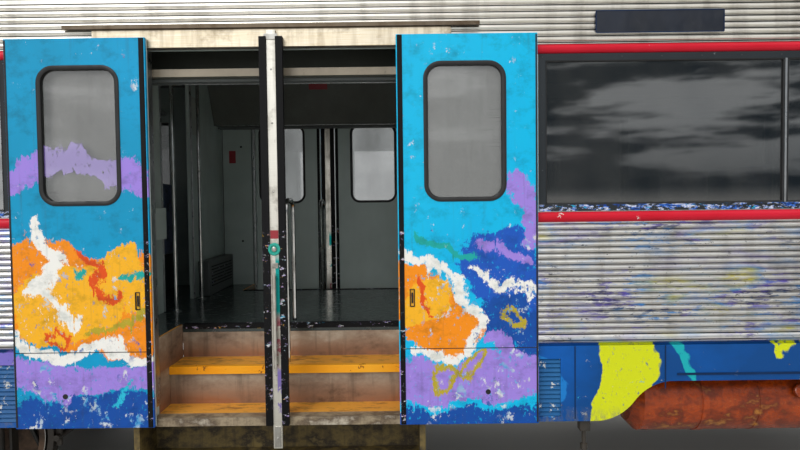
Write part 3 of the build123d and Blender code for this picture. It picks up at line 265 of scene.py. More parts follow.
def gloss_paint(
    name, base, worn_to, shade, chips=0.55, gloss=0.28, chip_size=9.0, coat=0.35,
    flecked_below=0.0, hues=BLUE_FLECKS, fleck_share=0.5,
):
    """Sprayed gloss enamel: orange peel, faded patches, chips, and other paints' flecks low down."""
    shine = 0.12 + 0.6 * coat
    mix = Recipe(name, base, Coat_Weight=coat * 0.4, Coat_Roughness=0.12, Specular_IOR_Level=shine)
    add = mix.add
    mix.dust(shade, mix.noise((1.6, 1.6, 1.1)), 0.35, 0.7)
    chip = mix.noise((chip_size, chip_size, chip_size * 0.8), 10.0, 0.72)
    bare = add("MapRange", chip, chips + 0.08, chips + 0.10)
    mix.lay(worn_to, bare)
    if flecked_below:
        low_down = add("MapRange", mix.z, flecked_below - 0.01, flecked_below, 1.0, 0.0)
        edge = 0.60 - 0.2 * fleck_share
        flecks = add("MapRange", mix.noise((14.0, 14.0, 30.0), 10.0, 0.76), edge, edge + 0.02)
        paint = add("ValToRGB", mix.noise((9.0, 9.0, 34.0), 4.0, 0.7), stops=hues)
        mix.lay(paint, add("MULTIPLY", low_down, flecks))
    height = add("SUBTRACT", mix.noise((160.0, 160.0, 160.0), 2.0), bare)
    return mix.done((bare, 0.0, 1.0, gloss, gloss + 0.35), (height, 0.0004, 0.3))


def rusted_steel(name, light, dark, scrape, roughness=0.8):
    """Mild steel plate, once painted: rust in blooms and runs, with worn bare metal where feet rub."""
    mix = Recipe(name)
    bloom = mix.noise((5.0, 5.0, 7.0), 8.0, 0.65)
    pits = mix.noise((90.0, 90.0, 90.0), 6.0, 0.7)
    mix.colour = mix.add("ValToRGB", bloom, stops=((0.30, dark), (0.45, light), (0.58, dark), (0.72, scrape)))
    mix.dust(dark, mix.noise((26.0, 26.0, 2.0)), 0.5, 0.72, 0.0, 0.6)
    mix.dust(scrape, pits, 0.62, 0.68, 0.0, 0.5)
    worn = mix.add("MapRange", bloom, 0.66, 0.74, 0.0, 0.6)
    return mix.done((bloom, 0.3, 0.7, roughness - 0.25, roughness), (pits, 0.0015, 0.6), Metallic=worn)


def grimy_steel(name, base, dust, roughness=0.75, metallic=0.0):
    """Black or cast running gear under oil, brake dust and track dirt: dull, mottled, paler on top."""
    mix = Recipe(name, base, Metallic=metallic)
    blotch = mix.noise((4.0, 4.0, 4.0), 7.0, 0.62)
    upward = mix.add("SeparateXYZ", mix.add("NewGeometry", output="Normal"), output="Z")
    mix.dust(dust, blotch, 0.42, 0.72, 0.0, 0.75)
    mix.dust(dust, upward, 0.2, 1.0, 0.0, 0.65)
    grit = mix.noise((120.0, 120.0, 120.0), 3.0)
    return mix.done((blotch, 0.3, 0.7, roughness - 0.3, roughness), (grit, 0.001, 0.45))


def worn_wheel(name):
    """Rolled steel wheel: tread and flange's edge polished by the rail, the web under brown brake dust."""
    mix = Recipe(name, "#3a2c22")
    add = mix.add
    mix.dust("#6b5340", mix.noise((9.0, 9.0, 9.0), 6.0, 0.65), 0.38, 0.68)
    # The car's four axles fold on to one: first the two bogies, then the two axles of each
    along = add("ABSOLUTE", mix.x)
    for middle in (bogie_x, half_base):
        along = add("ABSOLUTE", add("SUBTRACT", along, middle))
    radius = reach_of(add, along, add("SUBTRACT", mix.z, axle_z))
    rim = add("MapRange", radius, 0.420, 0.424)
    bright = add("MULTIPLY", rim, add("MapRange", add("ABSOLUTE", mix.y), 0.795, 0.80))
    mix.lay("#c4c2bd", bright)
    grit = mix.noise((120.0, 120.0, 120.0), 3.0)
    return mix.done((bright, 0.0, 1.0, 0.75, 0.25), (grit, 0.0008, 0.4), Metallic=bright)


def roof_enamel(name, base, soot):
    """Grey roof paint: a seam every window's width, soot by the fans, slots in their caps laid near black as
    painted shade.
    """
    mix = Recipe(name, base, Coat_Weight=0.1, Coat_Roughness=0.4)
    add = mix.add
    cloud = mix.noise((1.2, 1.2, 1.2), 6.0, 0.6)
    step = add("ABSOLUTE", add("FRACT", add("DIVIDE", mix.x, window_pitch)))
    seam = add("MapRange", step, 0.008, 0.010, 1.0, 0.0)
    # Fans stand in pairs about two places of the roof
    pair_x, fan_x = 2.2, 0.48
    away = folded(add, mix.x, pair_x)
    radius = reach_of(add, add("SUBTRACT", away, fan_x), mix.y)
    ring = add("MapRange", add("FRACT", add("DIVIDE", radius, 0.028)), 0.45, 0.55)
    cap = add("MULTIPLY", add("MapRange", radius, 0.36, 0.362, 1.0, 0.0), add("MapRange", mix.z, 4.20, 4.21))
    slots = add("MULTIPLY", add("MULTIPLY", cap, ring), add("MapRange", radius, 0.06, 0.062))
    mix.dust("#6f6c64", cloud, 0.38, 0.66)
    mix.dust("#4f4a42", mix.noise((14.0, 1.6, 1.6), 5.0), 0.52, 0.76, 0.0, 0.6)
    mix.dust(soot, away, 1.0, 2.4, 0.45, 0.0)
    mix.dust("#7a5138", mix.noise((11.0, 11.0, 11.0), 10.0, 0.72), 0.64, 0.66, 0.0, 0.7)
    mix.lay("#3c3a36", add("MULTIPLY", seam, 0.7))
    # Painted shade: the slots are laid near black for the shade inside them.
    mix.lay("#0c0c0c", slots)
    return mix.done((cloud, 0.3, 0.7, 0.55, 0.8), (add("SUBTRACT", seam, slots), 0.004, 0.5))


def moulded_sheet(
    name, base, mottle, roughness, grain_size=220.0, depth=0.0004, scuffs="#8b8f88", scuffed=0.25,
):
    """Laminate, rubber or plastic sheet: a fine moulded grain, soft mottling and pale rub marks."""
    mix = Recipe(name, base)
    rub = mix.noise((14.0, 30.0, 9.0), 8.0, 0.7)
    mix.dust(mottle, mix.noise((3.0, 3.0, 2.0), 5.0), 0.35, 0.7)
    mix.dust(scuffs, rub, 0.62, 0.70, 0.0, scuffed)
    grain = mix.noise((grain_size, grain_size, grain_size), 2.0)
    return mix.done((rub, 0.4, 0.7, roughness, roughness + 0.25), (grain, depth, 0.5))


def dusty_glass(name, tint, see_through, dust, mirror=2.0, sprayed=None):
    """Tinted toughened glass: a mirror-like face, a film of dust in runs, spray paint on some panes."""
    mix = Recipe(name, tint, IOR=1.52, Specular_IOR_Level=1.0, Coat_Weight=1.0, Coat_IOR=mirror)
    add = mix.add
    film = add("MapRange", mix.noise((2.4, 2.4, 1.2), 7.0, 0.6), 0.35, 0.75, 0.0, dust)
    specks = add("MapRange", mix.noise((46.0, 46.0, 30.0), 6.0, 0.7), 0.66, 0.72, 0.0, 0.2)
    haze = add("ADD", film, specks)
    mix.lay("#8d8a82", haze)
    cover = add("MapRange", haze, 0.0, 1.0, see_through, 1.0)
    if sprayed:
        *spot, strokes = sprayed
        painted = spray_over(mix, *spray_place(mix, *spot), strokes)
        mix.lay("#2a2c2c", 0.35)
        cover = add("MAXIMUM", cover, add("MULTIPLY", painted, 0.85))
    return mix.done((haze, 0.0, 0.6, 0.015, 0.16), Alpha=cover)


def plated_metal(name, tint, dull, low=0.08, high=0.35):
    """Chromed or satin bright metal, dulled by hands: smooth with cloudy smears."""
    mix = Recipe(name, tint, Metallic=1.0)
    smear = mix.noise((18.0, 18.0, 9.0), 5.0)
    mix.dust(dull, smear, 0.4, 0.7)
    return mix.done((smear, 0.3, 0.7, low, high))


def woven_moquette(name, pile, fleck):
    """Wool moquette: a cut pile in a small check, drawn 8 mm wide so that it shows, with a soft sheen."""
    mix = Recipe(name, pile, Roughness=0.9, Sheen_Weight=0.5, Sheen_Roughness=0.4)
    check = mix.add("TexVoronoi", {"Vector": mix.place, "Scale": 125.0})
    mix.dust(fleck, check, 0.25, 0.5, 0.0, 0.7)
    mix.dust("#1c2536", mix.noise((9.0, 9.0, 9.0)), 0.5, 0.65, 0.0, 0.6)
    return mix.done(bump=(check, 0.002, 0.6))


def lamp_lens(name, colour, strength):
    """Pressed lamp glass: fine vertical flutes, bright from the reflector behind."""
    mix = Recipe(name, colour, Roughness=0.08, Coat_Weight=1.0, Emission_Strength=strength)
    wave = {"Vector": mix.place, "Scale": 25.0, "Distortion": 0.4}
    flutes = mix.add("TexWave", wave, bands_direction="Y")
    mix.dust("#ffffff", flutes, 0.4, 1.0, 0.0, 0.35)
    return mix.done(bump=(flutes, 0.002, 0.5), **{"Emission Color": mix.colour})


def spray_place(mix, left_edge, facing, shift, place=None):
    """A point on a sprayed side, in metres from its left edge and foot, swayed and run; and a fine noise."""
    add = mix.add
    place = place or mix.place
    noise = partial(stretched_noise, add, place)
    axes = add("SeparateXYZ", place, output=None)
    across = add("MULTIPLY", add("SUBTRACT", axes["X"], left_edge), facing)
    across = add("ADD", across, shift)
    runs = add("MapRange", noise((46.0, 46.0, 1.8), 3.0), 0.60, 0.80, 0.0, 0.06)
    up = add("ADD", add("SUBTRACT", axes["Z"], leaf_bottom), runs)
    sway = noise((2.6, 2.6, 2.6), 3.0).node.outputs["Color"]
    sway = add("VectorMath", sway, (0.5, 0.5, 0.5), operation="SUBTRACT")
    sway = add("VectorMath", sway, (0.45, 0.45, 0.0), operation="MULTIPLY")
    point = add("VectorMath", add("CombineXYZ", across, up), sway, operation="ADD")
    return point, noise((30.0, 30.0, 20.0), 9.0, 0.75)


def stroke_distance(add, point, start, end):
    """How far a point is from a straight stroke of the can, both in metres on the side."""
    run = Vector((end[0] - start[0], end[1] - start[1], 0.0))
    from_start = add("VectorMath", point, (start[0], start[1], 0.0), operation="SUBTRACT")
    if run.length < 0.001:
        return add("VectorMath", from_start, output=1, operation="LENGTH")
    along = add("VectorMath", from_start, tuple(run), output=1, operation="DOT_PRODUCT")
    share = add("MapRange", along, 0.0, run.length_squared)
    nearest = add("VectorMath", {0: tuple(run), "Scale": share}, operation="SCALE")
    return add("VectorMath", from_start, nearest, output=1, operation="DISTANCE")


def spray_over(mix, point, tatter, strokes, fray=0.035):
    """Lay the strokes over the colour so far in their order; gives 1 where any paint is."""
    add = mix.add
    frayed = add("MapRange", tatter, 0.3, 0.7, -fray, fray)
    thin = add("MapRange", tatter, 0.585, 0.62, 1.0, 0.25)
    painted = 0.0
    for paint, half, hoop, *turns in strokes:
        for start, end in zip(turns, turns[1:] or turns):
            distance = add("ADD", stroke_distance(add, point, start, end), frayed)
            if hoop:
                distance = add("ABSOLUTE", add("SUBTRACT", distance, hoop))
            mask = add("MapRange", distance, half - 0.005, half + 0.005, 1.0, 0.0)
            mask = add("MULTIPLY", mask, thin)
            mix.lay(paint, mask)
            painted = add("MAXIMUM", painted, mask)
    return painted


# Strokes of spray paint, in metres from a side's left edge and foot, as seen from outside.
# Columns: colour, half the stroke's width, radius where it is a hoop, and the points it goes through.
ORANGE, YELLOW, WHITE, LILAC = "#f08c12", "#f2b021", "#eceae4", "#9b80d8"
DEEP_BLUE, VERMILION, TURQUOISE, OLIVE = "#0d4a9e", "#dc4f14", "#16a39c", "#b3a02c"
LEAF_STROKES = (
    (
        (ORANGE, 0.33, 0.0, (0.10, 0.98), (0.80, 0.80)),
        (YELLOW, 0.20, 0.0, (0.22, 0.80), (0.58, 0.92)),
        (YELLOW, 0.08, 0.0, (0.72, 1.16), (0.84, 0.84)),
        (WHITE, 0.055, 0.0, (0.00, 0.62), (0.30, 0.46), (0.62, 0.60), (0.92, 0.44)),
        (LILAC, 0.11, 0.0, (0.00, 0.38), (0.34, 0.30)),
        (LILAC, 0.09, 0.0, (0.34, 0.30), (0.92, 0.34)),
        (DEEP_BLUE, 0.16, 0.0, (0.00, 0.04), (0.92, 0.06)),
        (WHITE, 0.045, 0.0, (0.16, 1.36), (0.30, 1.10), (0.16, 0.90)),
        (WHITE, 0.035, 0.0, (0.16, 0.90), (0.40, 0.78)),
        (VERMILION, 0.026, 0.0, (0.44, 1.22), (0.66, 1.12), (0.56, 0.96)),
        (VERMILION, 0.022, 0.0, (0.56, 0.96), (0.74, 0.92)),
        (VERMILION, 0.016, 0.055, (0.30, 0.66)),
        (TURQUOISE, 0.030, 0.0, (0.44, 1.02), (0.50, 1.06)),
        (TURQUOISE, 0.028, 0.0, (0.78, 1.04), (0.86, 1.00)),
        (OLIVE, 0.024, 0.0, (0.52, 0.70), (0.88, 0.76)),
        (LILAC, 0.085, 0.0, (0.00, 1.62), (0.40, 1.80)),
        (LILAC, 0.075, 0.0, (0.40, 1.80), (0.92, 1.66)),
        ("#27b6d2", 0.016, 0.0, (0.66, 0.12), (0.74, 0.30)),
    ),
    (
        ("#1a55b8", 0.22, 0.0, (0.62, 1.10), (0.92, 0.84)),
        (DEEP_BLUE, 0.20, 0.0, (0.72, 0.66), (0.92, 0.50)),
        (LILAC, 0.030, 0.0, (0.52, 1.22), (0.90, 1.04)),
        (WHITE, 0.022, 0.0, (0.50, 1.06), (0.86, 0.84)),
        (TURQUOISE, 0.034, 0.0, (0.12, 1.26), (0.46, 1.14)),
        (ORANGE, 0.20, 0.0, (0.10, 0.84), (0.34, 0.60)),
        (YELLOW, 0.10, 0.0, (0.10, 0.70), (0.28, 0.82)),
        (WHITE, 0.032, 0.0, (0.04, 1.10), (0.36, 0.98)),
        (WHITE, 0.040, 0.0, (0.36, 0.98), (0.52, 0.70), (0.44, 0.44)),
        (WHITE, 0.030, 0.0, (0.44, 0.44), (0.16, 0.40)),
        (LILAC, 0.12, 0.0, (0.04, 0.24), (0.88, 0.30)),
        (LILAC, 0.07, 0.0, (0.62, 0.52), (0.84, 0.40)),
        (DEEP_BLUE, 0.09, 0.0, (0.00, 0.00), (0.92, 0.03)),
        (OLIVE, 0.020, 0.075, (0.34, 0.30)),
        (OLIVE, 0.018, 0.055, (0.50, 0.34)),
        (OLIVE, 0.018, 0.050, (0.76, 0.70)),
        (VERMILION, 0.020, 0.0, (0.16, 0.90), (0.22, 0.72)),
        (LILAC, 0.075, 0.0, (0.82, 1.56), (0.88, 1.22)),
    ),
)
# Metres from a point on the skirt and from the skirt's foot
SKIRT_STROKES = (
    ("#1678c4", 0.16, 0.0, (-0.90, 0.50), (-0.20, 0.20)),
    ("#cfd616", 0.17, 0.0, (0.42, 0.62), (0.24, 0.02)),
    ("#16a9b0", 0.035, 0.0, (0.66, 0.60), (0.78, 0.30)),
    ("#cfd616", 0.022, 0.0, (1.30, 0.56), (1.36, 0.40), (1.50, 0.52)),
    ("#cfd616", 0.022, 0.0, (1.58, 0.56), (1.66, 0.38)),
    ("#1678c4", 0.08, 0.0, (2.60, 0.46), (3.50, 0.40)),
    ("#7c6fc4", 0.10, 0.0, (4.10, 0.30), (4.60, 0.52)),
)


def sprayed_enamel(name, base, spot, strokes):
    """Door enamel with spray paint on it: frayed strokes with runs, mottled, scraped and chipped."""
    mix = Recipe(name, base, Coat_Weight=0.05, Coat_Roughness=0.15, Specular_IOR_Level=0.22)
    add = mix.add
    fade = mix.noise((1.4, 1.4, 0.9))
    mix.dust("#00a6de", fade, 0.4, 0.7, 0.0, 0.5)
    point, tatter = spray_place(mix, *spot)
    spray_over(mix, point, tatter, strokes)
    dimmed = {0: 0.40, 6: mix.colour, 7: linear("#3a6a58")}
    shade = add("Mix", dimmed, output=2, data_type="RGBA", blend_type="MULTIPLY")
    mix.dust(shade, mix.noise((7.0, 7.0, 9.0), 8.0, 0.68), 0.50, 0.70)
    # Flakes, chips and dark scabs are thicker towards the foot
    low_down = add("MapRange", add("SUBTRACT", mix.z, leaf_bottom), 0.2, 1.5, 0.045, 0.0)
    stops = ((0.36, "#1a4f9e"), (0.46, "#e6e6e0"), (0.55, "#2f9ad0"), (0.66, "#d9d7cd"))
    under = add("ValToRGB", mix.noise((4.0, 4.0, 4.0), 2.0), stops=stops)
    flaked = add("ADD", mix.noise((10.0, 10.0, 8.0), 11.0, 0.74), low_down)
    mix.dust(under, flaked, 0.625, 0.64, 0.0, 0.8)
    bare = add("ADD", mix.noise((17.0, 17.0, 13.0), 12.0, 0.76), low_down)
    bare = add("MapRange", bare, 0.67, 0.682)
    mix.lay("#d7d5cc", add("MULTIPLY", bare, 0.85))
    dark = add("ADD", mix.noise((24.0, 24.0, 18.0), 12.0, 0.78), low_down)
    mix.dust("#1c2436", dark, 0.69, 0.70, 0.0, 0.8)
    mix.dust("#3a4048", mix.noise((30.0, 30.0, 1.6)), 0.58, 0.80, 0.0, 0.3)
    lining = mix.blend("#c6d4cf", "#aebcb6", add("MapRange", fade, 0.35, 0.7))
    mix.lay(lining, inner_face(mix, leaf_outer_y - 0.020))
    return mix.done((bare, 0.0, 1.0, 0.32, 0.62), (add("SUBTRACT", tatter, bare), 0.0006, 0.35))


def chipped_skirt(name):
    """Skirt enamel in dark blue with yellow-green and turquoise spray on it, peeling in small flakes."""
    mix = Recipe(name, "#004484", Coat_Weight=0.05, Coat_Roughness=0.15, Specular_IOR_Level=0.22)
    add = mix.add
    mix.dust("#0056a8", mix.noise((1.1, 1.1, 1.6), 5.0), 0.42, 0.62)
    # The strokes start at one place of the side and come back along it
    start_x, most, least = -3.86, 6.9, -1.3
    repeat = add("WRAP", add("SUBTRACT", mix.x, start_x), most, least)
    point, tatter = spray_place(mix, 0.0, 1.0, 0.0, add("CombineXYZ", repeat, mix.y, mix.z))
    spray_over(mix, point, tatter, SKIRT_STROKES, 0.010)
    low_down = add("MapRange", mix.z, 0.75, 1.20, 0.045, 0.0)
    bare = add("ADD", mix.noise((15.0, 15.0, 17.0), 12.0, 0.77), low_down)
    bare = add("MapRange", bare, 0.640, 0.652)
    stops = ((0.38, "#101c38"), (0.47, "#c9c8be"), (0.56, "#1f2c4c"), (0.64, "#35b4cc"))
    under = add("ValToRGB", mix.noise((7.0, 7.0, 7.0), 2.0), stops=stops)
    mix.lay(under, add("MULTIPLY", bare, 0.9))
    dirt = add("MapRange", mix.z, 0.74, 0.84, 0.6, 0.0)
    grit = add("MapRange", mix.noise((26.0, 26.0, 12.0), 8.0, 0.7), 0.45, 0.6)
    mix.lay("#6a6a66", add("MULTIPLY", dirt, grit))
    return mix.done((bare, 0.0, 1.0, 0.35, 0.7), (bare, 0.0008, 0.4))


def worn_floor(name):
    """Studded floor sheet worn glossy along the middle, with shoe scuffs and grit in the grain."""
    mix = Recipe(name, "#242c2d", Specular_IOR_Level=0.6)
    scuff = mix.noise((12.0, 26.0, 12.0), 9.0, 0.7)
    mix.dust("#39433f", mix.noise((2.0, 2.0, 2.0), 5.0), 0.35, 0.7)
    mix.dust("#7d8078", scuff, 0.62, 0.72, 0.0, 0.35)
    return mix.done((scuff, 0.35, 0.70, 0.09, 0.35), (scuff, 0.0006, 0.3))


def stair_plate(name):
    """Stair plates: stainless risers stained brown at the foot, treads with worn orange-yellow paint."""
    mix = Recipe(name, Metallic=0.25)
    add = mix.add
    stain = mix.noise((3.0, 3.0, 5.0), 8.0, 0.66)
    stops = ((0.30, "#5a4838"), (0.44, "#8c7866"), (0.56, "#a4937f"), (0.70, "#bfb3a2"))
    mix.colour = add("ValToRGB", stain, stops=stops)
    lower = add("MapRange", mix.z, 0.82, 0.97, 0.85, 0.0)
    upper = add("MapRange", mix.z, 1.08, 1.21, 0.85, 0.0)
    upper = add("MULTIPLY", upper, add("MapRange", mix.z, 1.060, 1.064))
    rust = add("MULTIPLY", add("ADD", lower, upper), add("MapRange", stain, 0.34, 0.58, 0.3, 1.0))
    mix.lay("#8a4f28", rust)
    mix.dust("#33271d", mix.noise((16.0, 16.0, 1.5), 6.0), 0.52, 0.76, 0.0, 0.6)
    wear = mix.noise((7.0, 15.0, 7.0), 9.0, 0.7)
    tread = mix.blend("#f2ac40", "#8f6234", add("MapRange", wear, 0.50, 0.70))
    mix.dust(tread, add("SeparateXYZ", add("NewGeometry", output="Normal"), output="Z"), 0.6, 0.9)
    return mix.done((stain, 0.3, 0.7, 0.62, 0.35), (wear, 0.001, 0.4))


def pale_studio(name):
    """Painted studio floor: pale, matt, with a barely visible mottling."""
    mix = Recipe(name, "#bab8b3", Roughness=0.85)
    mix.lay("#b1afaa", mix.noise((0.4, 0.4, 0.4), 3.0))
    return mix.done()


finishes = {}
pocket_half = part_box("louvres")[1].x - doorways[1] - 0.15
# Paint left on a centre post: from and up to this height, its colour, and how much of it is left
post_paint = ((1.45, 1.90, "#1f9c98", 1.0), (1.12, 1.50, "#a4606a", 0.5), (0.80, 1.16, "#8d7cc0", 0.2))


def mix_finishes():
    """Make every finish of the car once."""
    finishes.update(
        side=fluted_stainless("fluted_stainless_side", "#dcdbd8", 0.35, 0.039, 1.3435, 0.85, pockets=True),
        letter=fluted_stainless("fluted_stainless_top", "#dcd6c8", 0.45, 0.041, 3.2835),
        plain=fluted_stainless("plain_stainless", "#d2ccc0", 0.40),
        header=bare_stainless("header_stainless", "#cfbfa0", "#85735a", 0.6, dark_from=3.366),
        end=bare_stainless("end_wall_stainless", "#cfccc4", "#857c70", 0.5, dark_from=3.99),
        post=bare_stainless("post_stainless", "#cfccc2", "#6d6559", 0.55, paint=post_paint),
        frame=gloss_paint(
            "window_frame_enamel", "#2b3034", "#83868a", "#1f2327", 0.60, 0.38, 14.0, 0.2, 2.197,
        ),
        red=gloss_paint("moulding_red_enamel", "#c20e26", "#d9cfc8", "#cf1c34", 0.58, 0.35, 12.0, 0.15),
        skirt=chipped_skirt("skirt_blue_enamel"),
        louvre=gloss_paint("louvre_blue_enamel", "#0b4c86", "#c4c6c4", "#2a6a9c", 0.50, 0.45, 13.0, 0.1),
        seam=gloss_paint("seam_blue_enamel", "#061f40", "#b9c4cc", "#0a3260", 0.60, 0.5, 12.0, 0.1),
        rubber=gloss_paint(
            "door_rubber", "#0c0c0d", "#26262a", "#151517", 0.62, 0.5, 14.0, 0.0, 2.05, MIXED_FLECKS, 0.1,
        ),
        fold_rubber=moulded_sheet(
            "bellows_rubber", "#151515", "#262524", 0.65, 160.0, 0.0006, "#5c574e", 0.3,
        ),
        rail=rusted_steel("guide_rail_steel", "#9a8a70", "#5a4a38", "#c5bba8", 0.55),
        stairs=stair_plate("stair_plate_steel"),
        step=rusted_steel("hanging_step_steel", "#6b5a2e", "#2e2518", "#8d7a4a"),
        tank=rusted_steel("tank_rust_primer", "#a8420e", "#6a2408", "#d8943c", 0.42),
        nosing=gloss_paint("nosing_orange_paint", "#f09a10", "#8a5220", "#f6ae2a", 0.54, 0.5, 16.0, 0.1),
        floor=worn_floor("floor_sheet_worn"),
        roof=roof_enamel("roof_grey_enamel", "#8e908d", "#2c2a27"),
        laminate=moulded_sheet("wall_laminate", "#bccac5", "#a6b4af", 0.30, 260.0, 0.0002),
        # The ceiling's laminate is set much darker than the walls': painted shade.
        ceiling=moulded_sheet("ceiling_laminate_painted_shade", "#62655f", "#54574f", 0.4, 260.0, 0.0002),
        # The casing lip's brownish grey stands for a brownish reflection on it: painted reflection.
        edge=moulded_sheet("casing_lip_painted_reflection", "#9a8f7c", "#7a7060", 0.35, 260.0, 0.0002, "#4d493f", 0.6),
        moquette=woven_moquette("bench_moquette", "#2b4a86", "#7f97c4"),
        grey=gloss_paint("pedestal_grey_enamel", "#5c6160", "#8e908c", "#4c5150", 0.58, 0.45),
        satin=plated_metal("rack_satin_aluminium", "#c6c8ca", "#9a9c9e", 0.22, 0.42),
        chrome=plated_metal("handrail_chrome", "#e0e0de", "#a9a8a4", 0.06, 0.30),
        cab=gloss_paint("cab_blue_enamel", "#0f7fb8", "#bfc4c2", "#0d62a0", 0.58, 0.28, 6.0),
        glass=dusty_glass("window_glass_dusty", "#0a0e10", 0.72, 0.16, 2.7),
        pane=dusty_glass("leaf_pane_dusty", "#3c413d", 0.42, 0.30, 1.9),
        desk=moulded_sheet("desk_plastic", "#1e2122", "#2a2e2f", 0.4),
        dark=grimy_steel("underframe_grime", "#24211d", "#4b4236"),
        iron=grimy_steel("cast_iron_grime", "#332d27", "#5a4d3f", 0.7),
        wheel=worn_wheel("wheel_steel_worn"),
        pipe=grimy_steel("pipe_steel_grime", "#2a2b2b", "#4a4034", 0.55, 0.3),
        plate=moulded_sheet("plate_enamel", "#0e1420", "#151d2c", 0.35, 260.0, 0.0002, "#3c4658", 0.3),
        label=moulded_sheet("label_red_vinyl", "#a02630", "#8c1f28", 0.4, 260.0, 0.0002),
        paper=moulded_sheet("notice_paper", "#b9bfb8", "#a7ada6", 0.6, 260.0, 0.0002),
        button=gloss_paint("button_green_enamel", "#1f8f7e", "#5c625f", "#2aa694", 0.60, 0.35, 60.0),
        screw=plated_metal("screw_zinc", "#b5b3ad", "#7a766e", 0.25, 0.5),
        dull=plated_metal("screw_dulled", "#5a5c5e", "#3b3d40", 0.3, 0.6),
        seal=moulded_sheet("glass_gasket", "#0a0a0b", "#141416", 0.5, 300.0, 0.0002, "#50525a", 0.25),
        lamp=lamp_lens("headlamp_lens", "#e8e9e4", 0.15),
        tail=lamp_lens("tail_lamp_lens", "#9c1218", 0.05),
        light=lamp_lens("ceiling_diffuser", "#d8d8cc", 0.10),
        studio=pale_studio("studio_floor"),
    )


# The finish of each CAD node that keeps its shape
NODE_FINISH = {
    "side_panels": "side", "letterboards": "letter", "window_bands": "plain", "window_frames": "frame",
    "window_glass": "glass", "red_mouldings": "red", "skirts": "skirt", "louvres": "louvre",
    "door_headers": "header", "door_posts": "post", "post_seals": "rubber", "guide_rails": "rail",
    "stairs": "stairs", "hanging_steps": "step", "floors": "floor", "roof": "roof", "ceiling": "ceiling",
    "partitions": "laminate", "seat_pedestals": "grey", "luggage_racks": "satin", "handrails": "chrome",
    "cab_front": "cab", "cab_glass": "glass", "headlamps": "chrome", "cab_desk": "desk", "end_wall": "end",
    "gangway_bellows": "fold_rubber", "gangway_door": "laminate", "roof_gear": "roof", "underframe": "dark",
    "engine_block": "iron", "fuel_tank": "tank", "underfloor_gear": "dark", "buffers": "iron",
    "drawhooks": "iron", "seats": "moquette",
}
for bogie in ("rear", "front"):
    NODE_FINISH[f"bogie_frame_{bogie}"] = "dark"
    NODE_FINISH[f"axle_boxes_{bogie}"] = "iron"
    for axle in ("aft", "fore"):
        NODE_FINISH[f"wheelset_{bogie}_{axle}"] = "wheel"


def finish_piece(name, mesh_maker, finish, body="car", smooth=False):
    """Turn a bmesh into one named piece of the car, with its finish, on its body."""
    mesh = bpy.data.meshes.new(name)
    bmesh.ops.recalc_face_normals(mesh_maker, faces=mesh_maker.faces)
    mesh_maker.to_mesh(mesh)
    mesh_maker.free()
    piece = bpy.data.objects.new(name, mesh)
    bpy.context.scene.collection.objects.link(piece)
    mesh.materials.append(finishes[finish])
    if smooth:
        mesh.shade_smooth()
        mesh.set_sharp_from_angle(angle=math.radians(40))
    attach(piece, body)
    return piece


def add_plate(bm, first, second, edge=0.0015):
    """A plate between two opposite corners with its edges eased, as sheet and bar have them."""
    low = [min(pair) for pair in zip(first, second)]
    size = [max(pair) - least for pair, least in zip(zip(first, second), low)]
    made = bmesh.ops.create_cube(bm, size=1.0)["verts"]
    for vert in made:
        vert.co = Vector([low[i] + (vert.co[i] + 0.5) * size[i] for i in range(3)])
    edges = dict.fromkeys(e for v in made for e in v.link_edges)
    ease = min(edge, 0.4 * min(size))
    bmesh.ops.bevel(bm, geom=list(edges), offset=ease, segments=2, affect="EDGES", profile=0.6)


def side_plate(bm, side, xs, reaches, zs, edge=0.0015):
    """A plate on one side of the car, between two distances from the car's middle."""
    add_plate(bm, (xs[0], side * reaches[0], zs[0]), (xs[1], side * reaches[1], zs[1]), edge)


def add_sections(bm, sections, close_ring=False, cap=True):
    """Join a row of equal point loops by faces; the loops are closed, the row too if close_ring."""
    loops = [[bm.verts.new(point) for point in section] for section in sections]
    count = len(loops[0])
    pairs = list(zip(loops, loops[1:]))
    if close_ring:
        pairs.append((loops[-1], loops[0]))
    for low, high in pairs:
        for i in range(count):
            bm.faces.new((low[i], low[(i + 1) % count], high[(i + 1) % count], high[i]))
    if cap and not close_ring:
        bm.faces.new(list(reversed(loops[0])))
        bm.faces.new(loops[-1])


def add_turned(bm, centre, axis, profile, steps=24):
    """A turned piece: profile is (distance along the axis, radius) pairs."""
    axis = Vector(axis).normalized()
    side = axis.orthogonal().normalized()
    other = axis.cross(side)
    sections = []
    for i in range(steps):
        turn = 2 * math.pi * i / steps
        out = side * math.cos(turn) + other * math.sin(turn)
        sections.append(
            [Vector(centre) + axis * along + out * max(radius, 1e-5) for along, radius in profile]
        )
    loops = [[bm.verts.new(point) for point in section] for section in sections]
    for i in range(steps):
        low, high = loops[i], loops[(i + 1) % steps]
        for j in range(len(profile) - 1):
            bm.faces.new((low[j], low[j + 1], high[j + 1], high[j]))
    bmesh.ops.remove_doubles(bm, verts=[v for loop in loops for v in loop], dist=2e-5)


def add_tube(bm, path, radius, steps=12):
    """A round bar along a path of points, with flat ends."""
    points = [Vector(p) for p in path]
    sections = []
    side = None
    for i, point in enumerate(points):
        before = points[max(i - 1, 0)]
        after = points[min(i + 1, len(points) - 1)]
        along = (after - before).normalized()
        side = along.orthogonal().normalized() if side is None else (
            side - along * side.dot(along)
        ).normalized()
        other = along.cross(side)
        turns = [2 * math.pi * k / steps for k in range(steps)]
        sections.append([point + (side * math.cos(t) + other * math.sin(t)) * radius for t in turns])
    add_sections(bm, sections)


